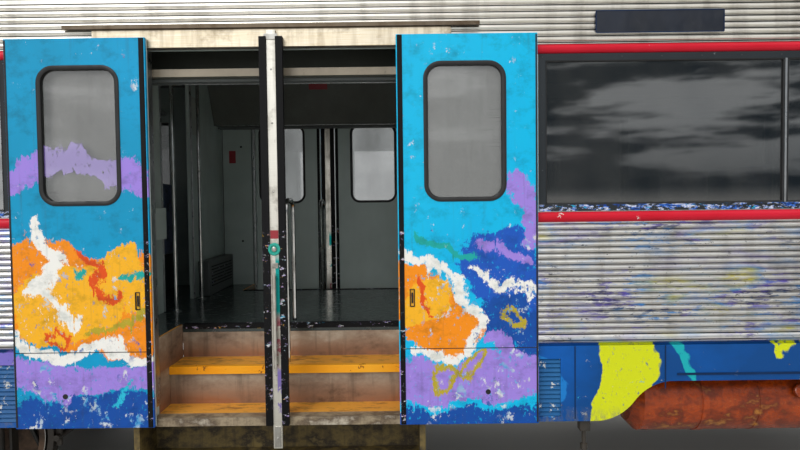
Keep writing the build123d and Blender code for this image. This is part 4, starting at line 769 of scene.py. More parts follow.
def add_frame_ring(bm, centre_x, centre_z, width, height, corner, profile, side=-1, steps=7):
    """A rounded ring on the side of the car; profile is (distance inwards, distance from the middle)."""
    sections = []
    corners = ((1, 1, 0), (-1, 1, 90), (-1, -1, 180), (1, -1, 270))
    for sx, sz, start in corners:
        for k in range(steps):
            turn = math.radians(start + 90 * k / (steps - 1))
            hub = (centre_x + sx * (width / 2 - corner), centre_z + sz * (height / 2 - corner))
            section = []
            for inset, y in profile:
                reach = max(corner - inset, 0.001)
                pull = min(corner - inset, 0.0)
                section.append((
                    hub[0] + reach * math.cos(turn) + sx * pull,
                    side * y,
                    hub[1] + reach * math.sin(turn) + sz * pull,
                ))
            sections.append(section)
    add_sections(bm, sections, close_ring=True)


def add_ring_in_plane(bm, origin, across, up, width, height, corner, profile):
    """A rounded ring in a slanting plane; profile is (distance inwards, distance out of the plane)."""
    ring = bmesh.new()
    add_frame_ring(ring, 0.0, 0.0, width, height, corner, profile, -1, 7)
    turn = Matrix((across, -Vector(across).cross(up), up)).transposed().to_4x4()
    bmesh.ops.transform(ring, matrix=Matrix.Translation(origin) @ turn, verts=ring.verts)
    made = bpy.data.meshes.new("ring")
    ring.to_mesh(made)
    ring.free()
    bm.from_mesh(made)
    bpy.data.meshes.remove(made)


def add_screw(bm, x, y, z, radius=0.006, side=-1):
    """A low domed screw head on the side of the car, turned with ten facets."""
    add_turned(
        bm, (x, side * y, z), (0, side, 0),
        ((-0.001, radius), (0.001, radius), (0.0028, radius * 0.6), (0.003, 0)), 10,
    )


def doorway_sides():
    """Each doorway's middle and the side of the car it is on."""
    return [(x, side) for x in doorways for side in (-1, 1)]


class RailcarPaintSettings(bpy.types.PropertyGroup):
    """Colours that a user of the car would change."""

    leaf_left: bpy.props.StringProperty(
        name="Left leaf", description="Enamel of the left leaves, sRGB hex", default="#008fba",
    )
    leaf_right: bpy.props.StringProperty(
        name="Right leaf", description="Enamel of the right leaves, sRGB hex", default="#00b6e2",
    )
    bevel: bpy.props.FloatProperty(
        name="Edge ease", description="Rounding of sheet edges", default=0.002, min=0.0005, max=0.01,
        subtype="DISTANCE", unit="LENGTH"
    )


class RailcarTrimSettings(bpy.types.PropertyGroup):
    """Sizes of the trim pieces."""

    gasket_width: bpy.props.FloatProperty(
        name="Leaf gasket", description="Width of the black seal round a leaf's pane", default=0.030,
        subtype="DISTANCE", unit="LENGTH"
    )
    gasket_proud: bpy.props.FloatProperty(
        name="Gasket height", description="How far the seal stands out of the leaf", default=0.007,
        subtype="DISTANCE", unit="LENGTH"
    )
    nose_width: bpy.props.FloatProperty(
        name="Leading rubber", description="Width of the rubber on a leaf's leading edge", default=0.040,
        subtype="DISTANCE", unit="LENGTH"
    )
    screw_pitch: bpy.props.FloatProperty(
        name="Screw pitch", description="Distance between the window frame's screws", default=0.263,
        subtype="DISTANCE", unit="LENGTH"
    )
    nosing_height: bpy.props.FloatProperty(
        name="Nosing height", description="Height of the painted angle on a tread", default=0.052,
        subtype="DISTANCE", unit="LENGTH"
    )


class RailcarStageSettings(bpy.types.PropertyGroup):
    """The plain studio round the car."""

    floor_size: bpy.props.FloatProperty(
        name="Floor", description="Side of the studio floor", default=240.0, subtype="DISTANCE",
        unit="LENGTH",
    )
    key_power: bpy.props.FloatProperty(
        name="Key light", description="Strength of the main soft sun", default=1.2,
    )
    sky_level: bpy.props.FloatProperty(
        name="Room light", description="Strength of the light all round", default=0.89,
    )
    lens: bpy.props.FloatProperty(
        name="Lens", description="Focal length of the camera, in millimetres", default=27.78,
        subtype="DISTANCE_CAMERA",
    )


class RAILCAR_OT_stage(bpy.types.Operator):
    """Make the floor, the soft lights and the camera"""

    bl_idname = "railcar.stage"
    bl_label = "Stage, lights and camera"

    # The camera stands square on to the open doorway, tilted a little down and rolled by well under a degree
    eye = Vector((-5.0265, -5.6128, 2.2182))
    pitch, roll, yaw = math.radians(-2.052), -0.0120, math.radians(-0.06)

    def execute(self, context):
        settings = context.scene.railcar_stage
        bm = bmesh.new()
        half = settings.floor_size / 2
        corners = [
            bm.verts.new((x, y, 0.0)) for x, y in ((-half, -half), (half, -half), (half, half), (-half, half))
        ]
        bm.faces.new(corners)
        mesh = bpy.data.meshes.new("studio_floor")
        bm.to_mesh(mesh)
        bm.free()
        mesh.materials.append(finishes["studio"])
        floor = bpy.data.objects.new("studio_floor", mesh)
        context.scene.collection.objects.link(floor)

        world = bpy.data.worlds.new("studio_room")
        world.use_nodes = True
        tree = world.node_tree
        add = partial(add_node, tree)
        sky = add("TexCoord", output="Generated")
        axes = add("SeparateXYZ", sky, output=None)
        stops = ((0.0, "#b9b7b2"), (0.49, "#b9b7b2"), (0.51, "#8c9194"), (0.56, "#d4d8da"), (1.0, "#ffffff"))
        tone = add("ValToRGB", add("MapRange", axes["Z"], -1.0, 1.0), stops=stops)
        bands = add("MapRange", stretched_noise(add, sky, (3.0, 3.0, 20.0), 7.0, 0.6), 0.45, 0.52)
        low_sky = add("MapRange", axes["Z"], 0.2, 0.6, 1.0, 0.0)
        low_sky = add("MULTIPLY", low_sky, add("MapRange", axes["Z"], 0.0, 0.02))
        cloudy = add("MULTIPLY", low_sky, add("MapRange", axes["Y"], -0.75, -0.25, 1.0, 0.35))
        tone = blend(add, tone, "#3c464e", add("MULTIPLY", cloudy, bands))
        # The clouds light the glass and the steel, and the backdrop itself is plain
        tone = blend(add, tone, "#ccd0d0", add("LightPath", output="Is Camera Ray"))
        strength = add("MULTIPLY", add("MapRange", axes["Y"], -1.0, 1.0, 1.0, 1.35), settings.sky_level)
        background = tree.nodes["Background"]
        tree.links.new(tone, background.inputs["Color"])
        tree.links.new(strength, background.inputs["Strength"])
        context.scene.world = world

        # Columns: name, direction that it shines in, share of the key light's power, softness in degrees
        lights = (
            ("key", (0.40, 0.80, -0.80), 1.0, 30.0),
            ("fill", (0.30, 1.00, -0.22), 0.66, 56.0),
            ("back", (-0.3, -0.9, -0.8), 0.70, 40.0),
            ("cab", (-0.9, 0.15, -0.5), 0.45, 40.0),
        )
        for name, way, share, softness in lights:
            lamp = bpy.data.lights.new(f"soft_{name}", "SUN")
            lamp.angle = math.radians(softness)
            lamp.energy = settings.key_power * share
            holder = bpy.data.objects.new(f"soft_{name}", lamp)
            holder.rotation_euler = Vector(way).to_track_quat("-Z", "Y").to_euler()
            context.scene.collection.objects.link(holder)

        forward = Vector((
            math.sin(self.yaw) * math.cos(self.pitch),
            math.cos(self.yaw) * math.cos(self.pitch),
            math.sin(self.pitch),
        ))
        level = Vector((math.cos(self.yaw), -math.sin(self.yaw), 0.0))
        upright = level.cross(forward)
        right = level * math.cos(self.roll) + upright * math.sin(self.roll)
        above = upright * math.cos(self.roll) - level * math.sin(self.roll)
        camera = bpy.data.cameras.new("view_camera")
        camera.lens = settings.lens
        camera.sensor_width = 36.0
        camera.clip_end = 500.0
        holder = bpy.data.objects.new("view_camera", camera)
        turn = Matrix((right, above, -forward)).transposed().to_4x4()
        holder.matrix_world = Matrix.Translation(self.eye) @ turn
        context.scene.collection.objects.link(holder)
        context.scene.camera = holder
        context.scene.view_settings.view_transform = "Standard"
        return {"FINISHED"}


class RAILCAR_OT_body_finish(bpy.types.Operator):
    """Give each solid of the car its finish, and ease the edges of sheet and bar"""

    bl_idname = "railcar.body_finish"
    bl_label = "Finish the solids"

    eased = (
        "door_posts", "door_headers", "hanging_steps", "stairs", "guide_rails", "window_frames",
        "post_seals", "roof_gear", "underfloor_gear", "engine_block", "seat_pedestals", "luggage_racks",
        "gangway_door", "gangway_bellows", "partitions", "cab_desk", "underframe",
    )

    def execute(self, context):
        paint = context.scene.railcar_paint
        for name, finish in NODE_FINISH.items():
            self.dress(nodes[name], finishes[finish])
        for i, name in enumerate(leaf_names):
            low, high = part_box(name)
            near = "near" in name
            left_leaf = ("aft" in name) == near
            strokes = LEAF_STROKES[0 if left_leaf else 1]
            base = paint.leaf_left if left_leaf else paint.leaf_right
            shift = 0.0 if "near_rear" in name else 0.13 * (i % 3 - 1)
            spot = (low.x, 1.0, shift) if near else (high.x, -1.0, shift)
            self.dress(nodes[name], sprayed_enamel(f"enamel_{name}", base, spot, strokes))
            pane = finishes["pane"]
            if near and left_leaf:
                pane = dusty_glass(f"sprayed_{name}", "#3c413d", 0.42, 0.30, 1.9, (*spot, strokes))
            self.dress(nodes[name.replace("leaf_", "pane_")], pane)
        for name in self.eased + tuple(leaf_names):
            weld = nodes[name].modifiers.new("join_faces", "WELD")
            weld.merge_threshold = 0.00002
            ease = nodes[name].modifiers.new("ease_edges", "BEVEL")
            ease.width = paint.bevel
            ease.segments = 2
            ease.limit_method = "ANGLE"
            ease.angle_limit = math.radians(50)
        return {"FINISHED"}

    @staticmethod
    def dress(node, material):
        node.data.materials.clear()
        node.data.materials.append(material)


class RAILCAR_OT_leaf_trim(bpy.types.Operator):
    """Add the gaskets, leading rubbers, lock slots, plugs and panel seams of the door leaves"""

    bl_idname = "railcar.leaf_trim"
    bl_label = "Door leaf trim"

    slot_rise, slot_height, slot_margin, slot_width = 0.785, 0.120, 0.090, 0.033
    seam_rise = 0.505

    def execute(self, context):
        trim = context.scene.railcar_trim
        for name in leaf_names:
            short = name[len("leaf_"):]
            low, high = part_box(name)
            pane_low, pane_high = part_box(f"pane_{short}")
            side = -1 if "near" in name else 1
            hand = -1 if "aft" in name else 1
            lead = high.x if hand < 0 else low.x
            outer = max(abs(low.y), abs(high.y))
            inner = outer - 0.038
            middle_x = (pane_low.x + pane_high.x) / 2
            middle_z = (pane_low.z + pane_high.z) / 2
            wide = pane_high.x - pane_low.x + 0.010
            tall = pane_high.z - pane_low.z + 0.010
            width, proud = trim.gasket_width, trim.gasket_proud
            section = (
                (0.0, outer - 0.002), (0.0, outer + proud * 0.6), (0.006, outer + proud),
                (width - 0.012, outer + proud),
                (width - 0.002, outer + proud * 0.4), (width, outer - 0.006), (width, inner + 0.006),
                (width - 0.006, inner - 0.004), (0.006, inner - 0.004), (0.0, inner + 0.002),
            )
            bm = bmesh.new()
            add_frame_ring(bm, middle_x, middle_z, wide, tall, 0.112, section, side, 9)
            finish_piece(f"gasket_{short}", bm, "seal", f"leaf_{short}", smooth=True)

            bm = bmesh.new()
            back = lead + hand * trim.nose_width
            rise = (leaf_bottom + 0.004, leaf_top - 0.004)
            nose = (
                (back, outer - 0.001), (back, outer + 0.0035), (lead + hand * 0.012, outer + 0.0045),
                (lead + hand * 0.003, outer - 0.004), (lead + hand * 0.0005, (outer + inner) / 2),
                (lead + hand * 0.003, inner + 0.004), (lead + hand * 0.012, inner - 0.002),
                (back, inner - 0.001),
            )
            add_sections(bm, [[(x, side * y, z) for x, y in nose] for z in rise])
            finish_piece(f"nose_rubber_{short}", bm, "rubber", f"leaf_{short}", smooth=True)

            bm = bmesh.new()
            slot_x = lead + hand * self.slot_margin
            slot_z = leaf_bottom + self.slot_rise + self.slot_height / 2
            rim = ((0.0, outer), (0.0, outer + 0.002), (0.004, outer + 0.0025), (0.006, outer - 0.007))
            add_frame_ring(bm, slot_x, slot_z, self.slot_width, self.slot_height, 0.008, rim, side, 4)
            latch_x, latch_z = (slot_x - 0.006, slot_x + 0.006), (slot_z - 0.035, slot_z + 0.035)
            side_plate(bm, side, latch_x, (outer - 0.008, outer - 0.002), latch_z)
            plug = (lead + hand * 0.585, side * outer, leaf_bottom + 0.215)
            add_turned(
                bm, plug, (0, side, 0),
                ((-0.001, 0.017), (0.003, 0.017), (0.004, 0.012), (0.002, 0.010), (0.002, 0)), 20,
            )
            finish_piece(f"lock_slot_{short}", bm, "seal", f"leaf_{short}")

            bm = bmesh.new()
            ends = (lead + hand * (trim.nose_width + 0.002), lead + hand * (high.x - low.x - 0.004))
            seam_z = leaf_bottom + self.seam_rise
            side_plate(bm, side, ends, (outer, outer + 0.0012), (seam_z, seam_z + 0.005), 0.0005)
            edge_x = (lead + hand * (high.x - low.x - 0.003), lead + hand * (high.x - low.x - 0.014))
            side_plate(bm, side, edge_x, (outer, outer + 0.003), (leaf_bottom + 0.01, leaf_top - 0.01), 0.001)
            finish_piece(f"panel_seam_{short}", bm, "seal", f"leaf_{short}")
        return {"FINISHED"}


class RAILCAR_OT_post_fittings(bpy.types.Operator):
    """Add the ring button, brackets, screws and blank label of each centre post"""

    bl_idname = "railcar.post_fittings"
    bl_label = "Centre post fittings"

    face, button_z, label_z, bracket_z, low_screw_z = 1.550, 1.923, 2.02, 1.815, 1.085

    def execute(self, context):
        bright, ring, label = bmesh.new(), bmesh.new(), bmesh.new()
        face = self.face
        for x, side in doorway_sides():
            out = (0, side, 0)
            self.block(bright, x, 0.044, side, face, face + 0.006, 3.292, 3.330)
            bracket = (self.bracket_z - 0.018, self.bracket_z + 0.018)
            self.block(bright, x, 0.024, side, face, face + 0.012, *bracket)
            self.block(bright, x, 0.020, side, face, face + 0.005, 0.60, 0.74)
            for z in (self.low_screw_z, 1.20, 2.30, 2.75, 3.10, 0.66):
                add_screw(bright, x, face + (0.005 if z < 0.8 else 0.0), z, 0.007, side)
            for z in (self.bracket_z - 0.010, self.bracket_z + 0.010):
                add_screw(bright, x, face + 0.012, z, 0.005, side)
            centre = (x, side * face, self.button_z)
            rim = (
                (-0.001, 0.042), (0.012, 0.042), (0.017, 0.037), (0.017, 0.026), (0.010, 0.022),
                (0.010, 0.0),
            )
            add_turned(ring, centre, out, rim, 36)
            cap = ((0.010, 0.017), (0.016, 0.016), (0.019, 0.010), (0.020, 0.0))
            add_turned(bright, centre, out, cap, 28)
            self.block(label, x, 0.027, side, face, face + 0.001, self.label_z - 0.028, self.label_z + 0.028)
        finish_piece("post_brackets", bright, "screw")
        finish_piece("post_button_rings", ring, "button", smooth=True)
        finish_piece("post_labels", label, "label")
        return {"FINISHED"}

    @staticmethod
    def block(bm, x, half, side, inner, outer, low_z, high_z):
        side_plate(bm, side, (x - half, x + half), (inner, outer), (low_z, high_z), 0.0015)


class RAILCAR_OT_doorway_trim(bpy.types.Operator):
    """Add the jamb strips, tread and floor nosings, and the small things of the vestibules"""

    bl_idname = "railcar.doorway_trim"
    bl_label = "Doorways and vestibules"

    # The upper tread: its height, and its edge's distance from the middle of the car
    tread_z, tread_edge = 1.061, 1.230
    partition, casing_half, casing_y, casing_bottom = 1.19, 1.18, 1.42, 3.083
    # The sloping inner face of a casing, from its foot to the ceiling: distance from the middle, height
    casing_slope = ((1.160, 3.083), (0.914, 3.5495))
    # Each mesh: its piece, finish and slot
    looks = {
        "nosing": ("tread_nosings", "nosing", "rusty_steel"),
        "dark": ("floor_nosings", "rubber", "rubber"),
        "jambs": ("jamb_strips", "satin", "aluminium"),
        "paper": ("notice_sheets", "paper", "laminate"),
        "label": ("wall_labels", "label", "red_paint"),
        "box": ("heater_boxes", "grey", "grey_metal"),
        "lip": ("casing_lips", "edge", "laminate"),
        "line": ("casing_lines", "satin", "aluminium"),
        "bins": ("litter_bins", "plain", "stainless"),
    }

    def execute(self, context):
        drop = context.scene.railcar_trim.nosing_height
        made = {name: bmesh.new() for name in self.looks}
        for x, side in doorway_sides():
            self.stair_edges(made, x, side, drop)
            self.casing_edges(made, x, side)
            self.wall_things(made, x, side)
        for name, (piece, finish, slot) in self.looks.items():
            finish_piece(piece, made[name], finish)
        return {"FINISHED"}

    def stair_edges(self, made, x, side, drop):
        """Painted angle with its rivets on the upper tread, and a ribbed rubber strip on the floor's edge."""
        z, edge = self.tread_z, self.tread_edge
        half = jamb - 0.004
        profile = ((edge - 0.045, z), (edge - 0.045, z + 0.003), (edge + 0.001, z + 0.003),
                   (edge + 0.004, z), (edge + 0.004, z - drop), (edge + 0.001, z - drop), (edge + 0.001, z))
        add_sections(made["nosing"], [[(at, side * y, h) for y, h in profile] for at in (x - half, x + half)])
        for k in range(12):
            at = x + half * (-0.94 + 1.88 * k / 11)
            add_turned(made["nosing"], (at, side * (edge + 0.004), z - 0.5 * drop), (0, side, 0),
                       ((-0.001, 0.006), (0.0015, 0.005), (0.002, 0.0)), 8)
        half = jamb - 0.006
        z = floor_top
        strip = ((0.885, z + 0.0005), (0.885, z + 0.004), (0.932, z + 0.004),
                 (0.936, z), (0.936, z - 0.034), (0.932, z - 0.034), (0.932, z))
        add_sections(made["dark"], [[(at, side * y, h) for y, h in strip] for at in (x - half, x + half)])
        for k in range(4):
            y = 0.895 + 0.010 * k
            side_plate(
                made["dark"], side, (x - half, x + half), (y, y + 0.005), (z + 0.0035, z + 0.0055), 0.0008,
            )

    def casing_edges(self, made, x, side):
        """The bright lip over the doorway, the white line under the casing, and its blank label."""
        half = jamb - 0.002
        side_plate(
            made["lip"], side, (x - half, x + half), (1.4202, 1.4222),
            (self.casing_bottom + 0.001, self.casing_bottom + 0.052),
        )
        side_plate(
            made["line"], side, (x - self.casing_half, x + self.casing_half), (1.150, 1.172),
            (self.casing_bottom - 0.004, self.casing_bottom - 0.0005),
        )
        for y in (1.27, 1.34):
            side_plate(
                made["box"], side, (x - self.casing_half, x + self.casing_half), (y, y + 0.018),
                (self.casing_bottom - 0.022, self.casing_bottom - 0.001), 0.002,
            )
        (foot_y, foot_z), (head_y, head_z) = self.casing_slope
        loops = []
        for lift in (0.0005, 0.002):
            loop = []
            for at, z in ((-0.120, 3.430), (0.074, 3.430), (0.074, 3.505), (-0.120, 3.505)):
                share = (z - foot_z) / (head_z - foot_z)
                y = foot_y + (head_y - foot_y) * share - lift
                loop.append((x + side * at, side * y, z - lift * 0.4))
            loops.append(loop)
        add_sections(made["label"], loops)

    def wall_things(self, made, x, side):
        """Jamb strips, a heater box, a bin, a notice, a sticker and locks on the walls of the vestibule."""
        for hand in (-1, 1):
            at = (x + hand * (jamb + 0.001), x + hand * (jamb - 0.016))
            side_plate(made["jambs"], side, at, (skin_y - 0.085, skin_y - 0.012), (0.86, 3.245), 0.003)
            wall = x + hand * self.partition
            corner = (wall, wall - hand * 0.014)
            side_plate(made["jambs"], side, corner, (0.374, 0.388), (floor_top + 0.005, 3.54), 0.003)
            if hand * side > 0:
                side_plate(made["bins"], side, (wall, wall - hand * 0.13), (0.86, 0.62), (1.95, 2.20), 0.006)
                continue
            side_plate(made["paper"], side, (wall, wall - hand * 0.003), (0.61, 0.40), (2.91, 3.28), 0.0008)
            face = wall - hand * 0.11
            side_plate(made["box"], side, (wall, face), (1.40, 0.52), (floor_top + 0.002, 1.66), 0.008)
            for k in range(7):
                z = 1.40 + 0.032 * k
                slat = (face - hand * 0.006, face + hand * 0.002)
                side_plate(made["dark"], side, slat, (1.32, 0.60), (z, z + 0.012), 0.001)
        side_plate(made["label"], side, (x - 1.105, x - 1.03), (1.4195, 1.4185), (2.69, 2.83), 0.0003)
        for at in (-1.184, 1.172, -0.852, 0.846):
            side_plate(
                made["box"], side, (x + at, x + at + 0.010), (1.4195, 1.4165), (floor_top + 0.005, 3.07),
                0.001,
            )
        for z in (2.874, 1.805):
            bolt = ((-0.001, 0.012), (0.004, 0.011), (0.005, 0))
            add_turned(made["dark"], (x - 0.968, side * self.casing_y, z), (0, -side, 0), bolt, 16)


class RAILCAR_OT_window_trim(bpy.types.Operator):
    """Add the screws, inner gaskets and mullion strips of the window ribbons"""

    bl_idname = "railcar.window_trim"
    bl_label = "Window trim"

    frame_gap, border, mullion, frame_height, base = 0.022, 0.046, 0.024, 1.040, 2.150

    def execute(self, context):
        spacing = context.scene.railcar_trim.screw_pitch
        screws, seals, strips = bmesh.new(), bmesh.new(), bmesh.new()
        outer_y = -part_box("window_frames")[0].y
        middle_z = self.base + self.frame_height / 2
        tall = self.frame_height - 2 * self.border
        lip = (
            (-0.001, outer_y - 0.002), (0.0, outer_y + 0.0006), (0.007, outer_y - 0.001),
            (0.010, outer_y - 0.013),
        )
        for start, count in window_rows:
            run = count * window_pitch
            for side in (-1, 1):
                self.frame_screws(
                    screws, start + run / 2, run - self.frame_gap, middle_z, outer_y, side, spacing,
                )
                for i in range(count):
                    low = start + i * window_pitch + self.mullion / 2
                    high = low + window_pitch - self.mullion
                    low = start + self.frame_gap / 2 + self.border if i == 0 else low
                    high = start + run - self.frame_gap / 2 - self.border if i == count - 1 else high
                    add_frame_ring(seals, (low + high) / 2, middle_z, high - low, tall, 0.012, lip, side, 4)
                    if i == 0:
                        continue
                    x = start + i * window_pitch
                    side_plate(
                        strips, side, (x - 0.006, x + 0.006), (outer_y - 0.001, outer_y + 0.0016),
                        (middle_z - tall / 2, middle_z + tall / 2), 0.0006,
                    )
        finish_piece("window_screws", screws, "dull")
        finish_piece("window_gaskets", seals, "seal", smooth=True)
        finish_piece("window_mullions", strips, "satin")
        return {"FINISHED"}

    def frame_screws(self, bm, x, wide, middle_z, outer_y, side, spacing):
        """Screws round one frame, near the middle of its border."""
        half_x = (wide - self.border) / 2
        half_z = (self.frame_height - self.border) / 2
        for half, length, across in ((half_z, 2 * half_x, True), (half_x, 2 * half_z, False)):
            steps = round(length / spacing)
            for k in range(steps + 1):
                along = -length / 2 + length * k / steps
                if not across and k in (0, steps):
                    continue
                for sign in (-1, 1):
                    place = (x + along, middle_z + sign * half) if across else (
                        x + sign * half, middle_z + along,
                    )
                    add_screw(bm, place[0], outer_y, place[1], 0.005, side)


class RAILCAR_OT_side_fittings(bpy.types.Operator):
    """Add the blank number plates, sheet seams, skirt ledges and hanging rods of the sides"""

    bl_idname = "railcar.side_fittings"
    bl_label = "Side fittings"

    plate_low, plate_high = (2.13, 3.318), (2.97, 3.461)
    ledge_z = 1.040

    def execute(self, context):
        plates, seams, dark = bmesh.new(), bmesh.new(), bmesh.new()
        for x, side in doorway_sides():
            if x < 0:
                side_plate(
                    plates, side, (x + self.plate_low[0], x + self.plate_high[0]), (1.5125, 1.5205),
                    (self.plate_low[1], self.plate_high[1]), 0.003,
                )
                rim = ((0.0, 1.5205), (0.0, 1.5225), (0.006, 1.5225), (0.006, 1.5205))
                centre = (
                    x + (self.plate_low[0] + self.plate_high[0]) / 2,
                    (self.plate_low[1] + self.plate_high[1]) / 2,
                )
                add_frame_ring(seams, centre[0], centre[1], 0.846, 0.149, 0.010, rim, side, 4)
            for hand in (-1, 1):
                for off, low_z, high_z in ((1.994, 0.70, 1.243), (2.601, 0.90, 1.243)):
                    at = x + hand * off
                    if abs(at) > 12.0 or abs(at) < 0.6:
                        continue
                    side_plate(
                        seams, side, (at - 0.004, at + 0.004), (1.5003, 1.5035), (low_z + 0.05, high_z),
                        0.001,
                    )
                rod_x = x + hand * 2.07
                side_plate(dark, side, (rod_x - 0.035, rod_x + 0.035), (1.405, 1.475), (0.655, 0.735), 0.004)
                add_tube(
                    dark,
                    ((rod_x, side * 1.44, 0.66), (rod_x, side * 1.44, 0.40), (rod_x, side * 1.42, 0.36)),
                    0.014, 14,
                )
                add_turned(
                    dark, (rod_x, side * 1.44, 0.54), (0, 0, 1),
                    ((-0.02, 0.0), (-0.02, 0.024), (0.02, 0.024), (0.02, 0.0)), 6,
                )
                run = (x + hand * 2.68, x + hand * (5.70 if hand * x < 0 else 5.50))
                side_plate(seams, side, run, (1.5003, 1.506), (self.ledge_z, self.ledge_z + 0.014), 0.001)
        finish_piece("number_plates_blank", plates, "plate")
        finish_piece("side_seams", seams, "seam")
        finish_piece("step_hanger_rods", dark, "dark")
        return {"FINISHED"}


class RAILCAR_OT_benches(bpy.types.Operator):
    """Upholster the benches with crowned, seamed cushions and backs"""

    bl_idname = "railcar.benches"
    bl_label = "Benches"

    width, depth, thick = 0.93, 0.47, 0.08
    back_base, back_head = 0.110, 0.070
    low_z, top_z, back_top = 1.68, 1.76, 2.46

    def execute(self, context):
        cushion = self.padded_form((self.depth, self.width, self.thick), (6, 12, 3), 0.018, True)
        cushions, backs = bmesh.new(), bmesh.new()
        for start, count in window_rows:
            for y in (0.945, -0.945):
                for i in range(count + 1):
                    x = start + i * window_pitch
                    self.add_back(backs, x, y, self.width)
                    for hand in (-1, 1):
                        if (hand > 0 and i == count) or (hand < 0 and i == 0):
                            continue
                        self.place(
                            cushions, cushion, x + hand * (self.back_base / 2 + 0.002 + self.depth / 2), y,
                        )
        self.add_back(backs, 11.35, -0.45, 0.48)
        narrow = self.padded_form((self.depth, 0.48, self.thick), (6, 6, 3), 0.018, False)
        self.place(cushions, narrow, 11.35 + self.back_base / 2 + 0.002 + self.depth / 2, -0.45)
        cushion.free()
        narrow.free()
        soft = finish_piece("bench_cushions", cushions, "moquette", smooth=True)
        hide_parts("seats")
        rest = finish_piece("bench_backs", backs, "moquette", smooth=True)
        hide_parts("seats")
        for piece in (soft, rest):
            rounding = piece.modifiers.new("stuffed_round", "SUBSURF")
            rounding.levels = 1
            rounding.render_levels = 1
        return {"FINISHED"}

    def padded_form(self, size, cuts, crown, seam):
        """One cushion about the origin: crowned top, sides pulled in, a sewn seam across."""
        bm = bmesh.new()
        steps = [[-0.5 + k / n for k in range(n + 1)] for n in cuts]
        grid = {}
        for i, u in enumerate(steps[0]):
            for j, v in enumerate(steps[1]):
                for k, w in enumerate(steps[2]):
                    if i in (0, cuts[0]) or j in (0, cuts[1]) or k in (0, cuts[2]):
                        grid[i, j, k] = bm.verts.new(self.soften(u, v, w, size, crown, seam))
        self.skin(bm, grid, cuts)
        bmesh.ops.recalc_face_normals(bm, faces=bm.faces)
        return bm

    @staticmethod
    def soften(u, v, w, size, crown, seam):
        """Where a point of the block goes once it is stuffed and sewn."""
        round_u = math.cos(math.pi * u) ** 0.5 if abs(u) < 0.5 else 0.0
        round_v = math.cos(math.pi * v) ** 0.5 if abs(v) < 0.5 else 0.0
        lift = crown * round_u * round_v - crown * 0.8
        if seam and abs(v) < 0.05:
            lift -= 0.010
        z = w * size[2] + (lift if w > 0 else 0.0)
        tuck = 0.010 * (1 - (2 * w) ** 2)
        pull = 0.006 * math.cos(math.pi * v)
        x = u * (size[0] - 0.012) + math.copysign(tuck - pull, u) * (abs(u) > 0.4)
        y = v * (size[1] - 0.012) + math.copysign(tuck - 0.006 * math.cos(math.pi * u), v) * (abs(v) > 0.4)
        return (x, y, z)

    @staticmethod
    def skin(bm, grid, cuts):
        """Faces over the six sides of the block."""
        for a, b, c in ((0, 1, 2), (0, 2, 1), (1, 2, 0)):
            for end in (0, cuts[c]):
                for i in range(cuts[a]):
                    for j in range(cuts[b]):
                        corners = []
                        for di, dj in ((0, 0), (1, 0), (1, 1), (0, 1)):
                            key = [0, 0, 0]
                            key[a], key[b], key[c] = i + di, j + dj, end
                            corners.append(grid[tuple(key)])
                        bm.faces.new(corners)

    def place(self, target, form, x, y):
        """Copy a form into the joined mesh, standing on the seat's frame."""
        middle_z = (self.low_z + self.top_z) / 2
        moved = {v: target.verts.new((v.co.x + x, v.co.y + y, v.co.z + middle_z)) for v in form.verts}
        for face in form.faces:
            target.faces.new([moved[v] for v in face.verts])

    def add_back(self, bm, x, y, width):
        """A tapered back with a rolled top, two sewn channels and a fuller headrest."""
        heights = (0.0, 0.06, 0.30, 0.34, 0.38, 0.60, 0.70, 0.80, 0.97, 1.0)
        swell = (0.6, 1.0, 1.0, 0.86, 1.0, 1.0, 0.86, 1.0, 0.95, 0.45)
        rise = self.back_top - self.low_z
        sections = []
        for share, full in zip(heights, swell):
            thick = (self.back_base + (self.back_head - self.back_base) * share) * full / 2
            z = self.low_z + share * rise
            half = width / 2 - (0.02 if share in (0.0, 1.0) else 0.004)
            steps = 12
            loop = []
            for front in (1, -1):
                for k in range(steps + 1):
                    v = -1 + 2 * k / steps
                    bulge = 1 - 0.55 * abs(v) ** 6
                    loop.append((x + front * thick * bulge, y + front * v * half, z))
            sections.append(loop)
        add_sections(bm, sections)


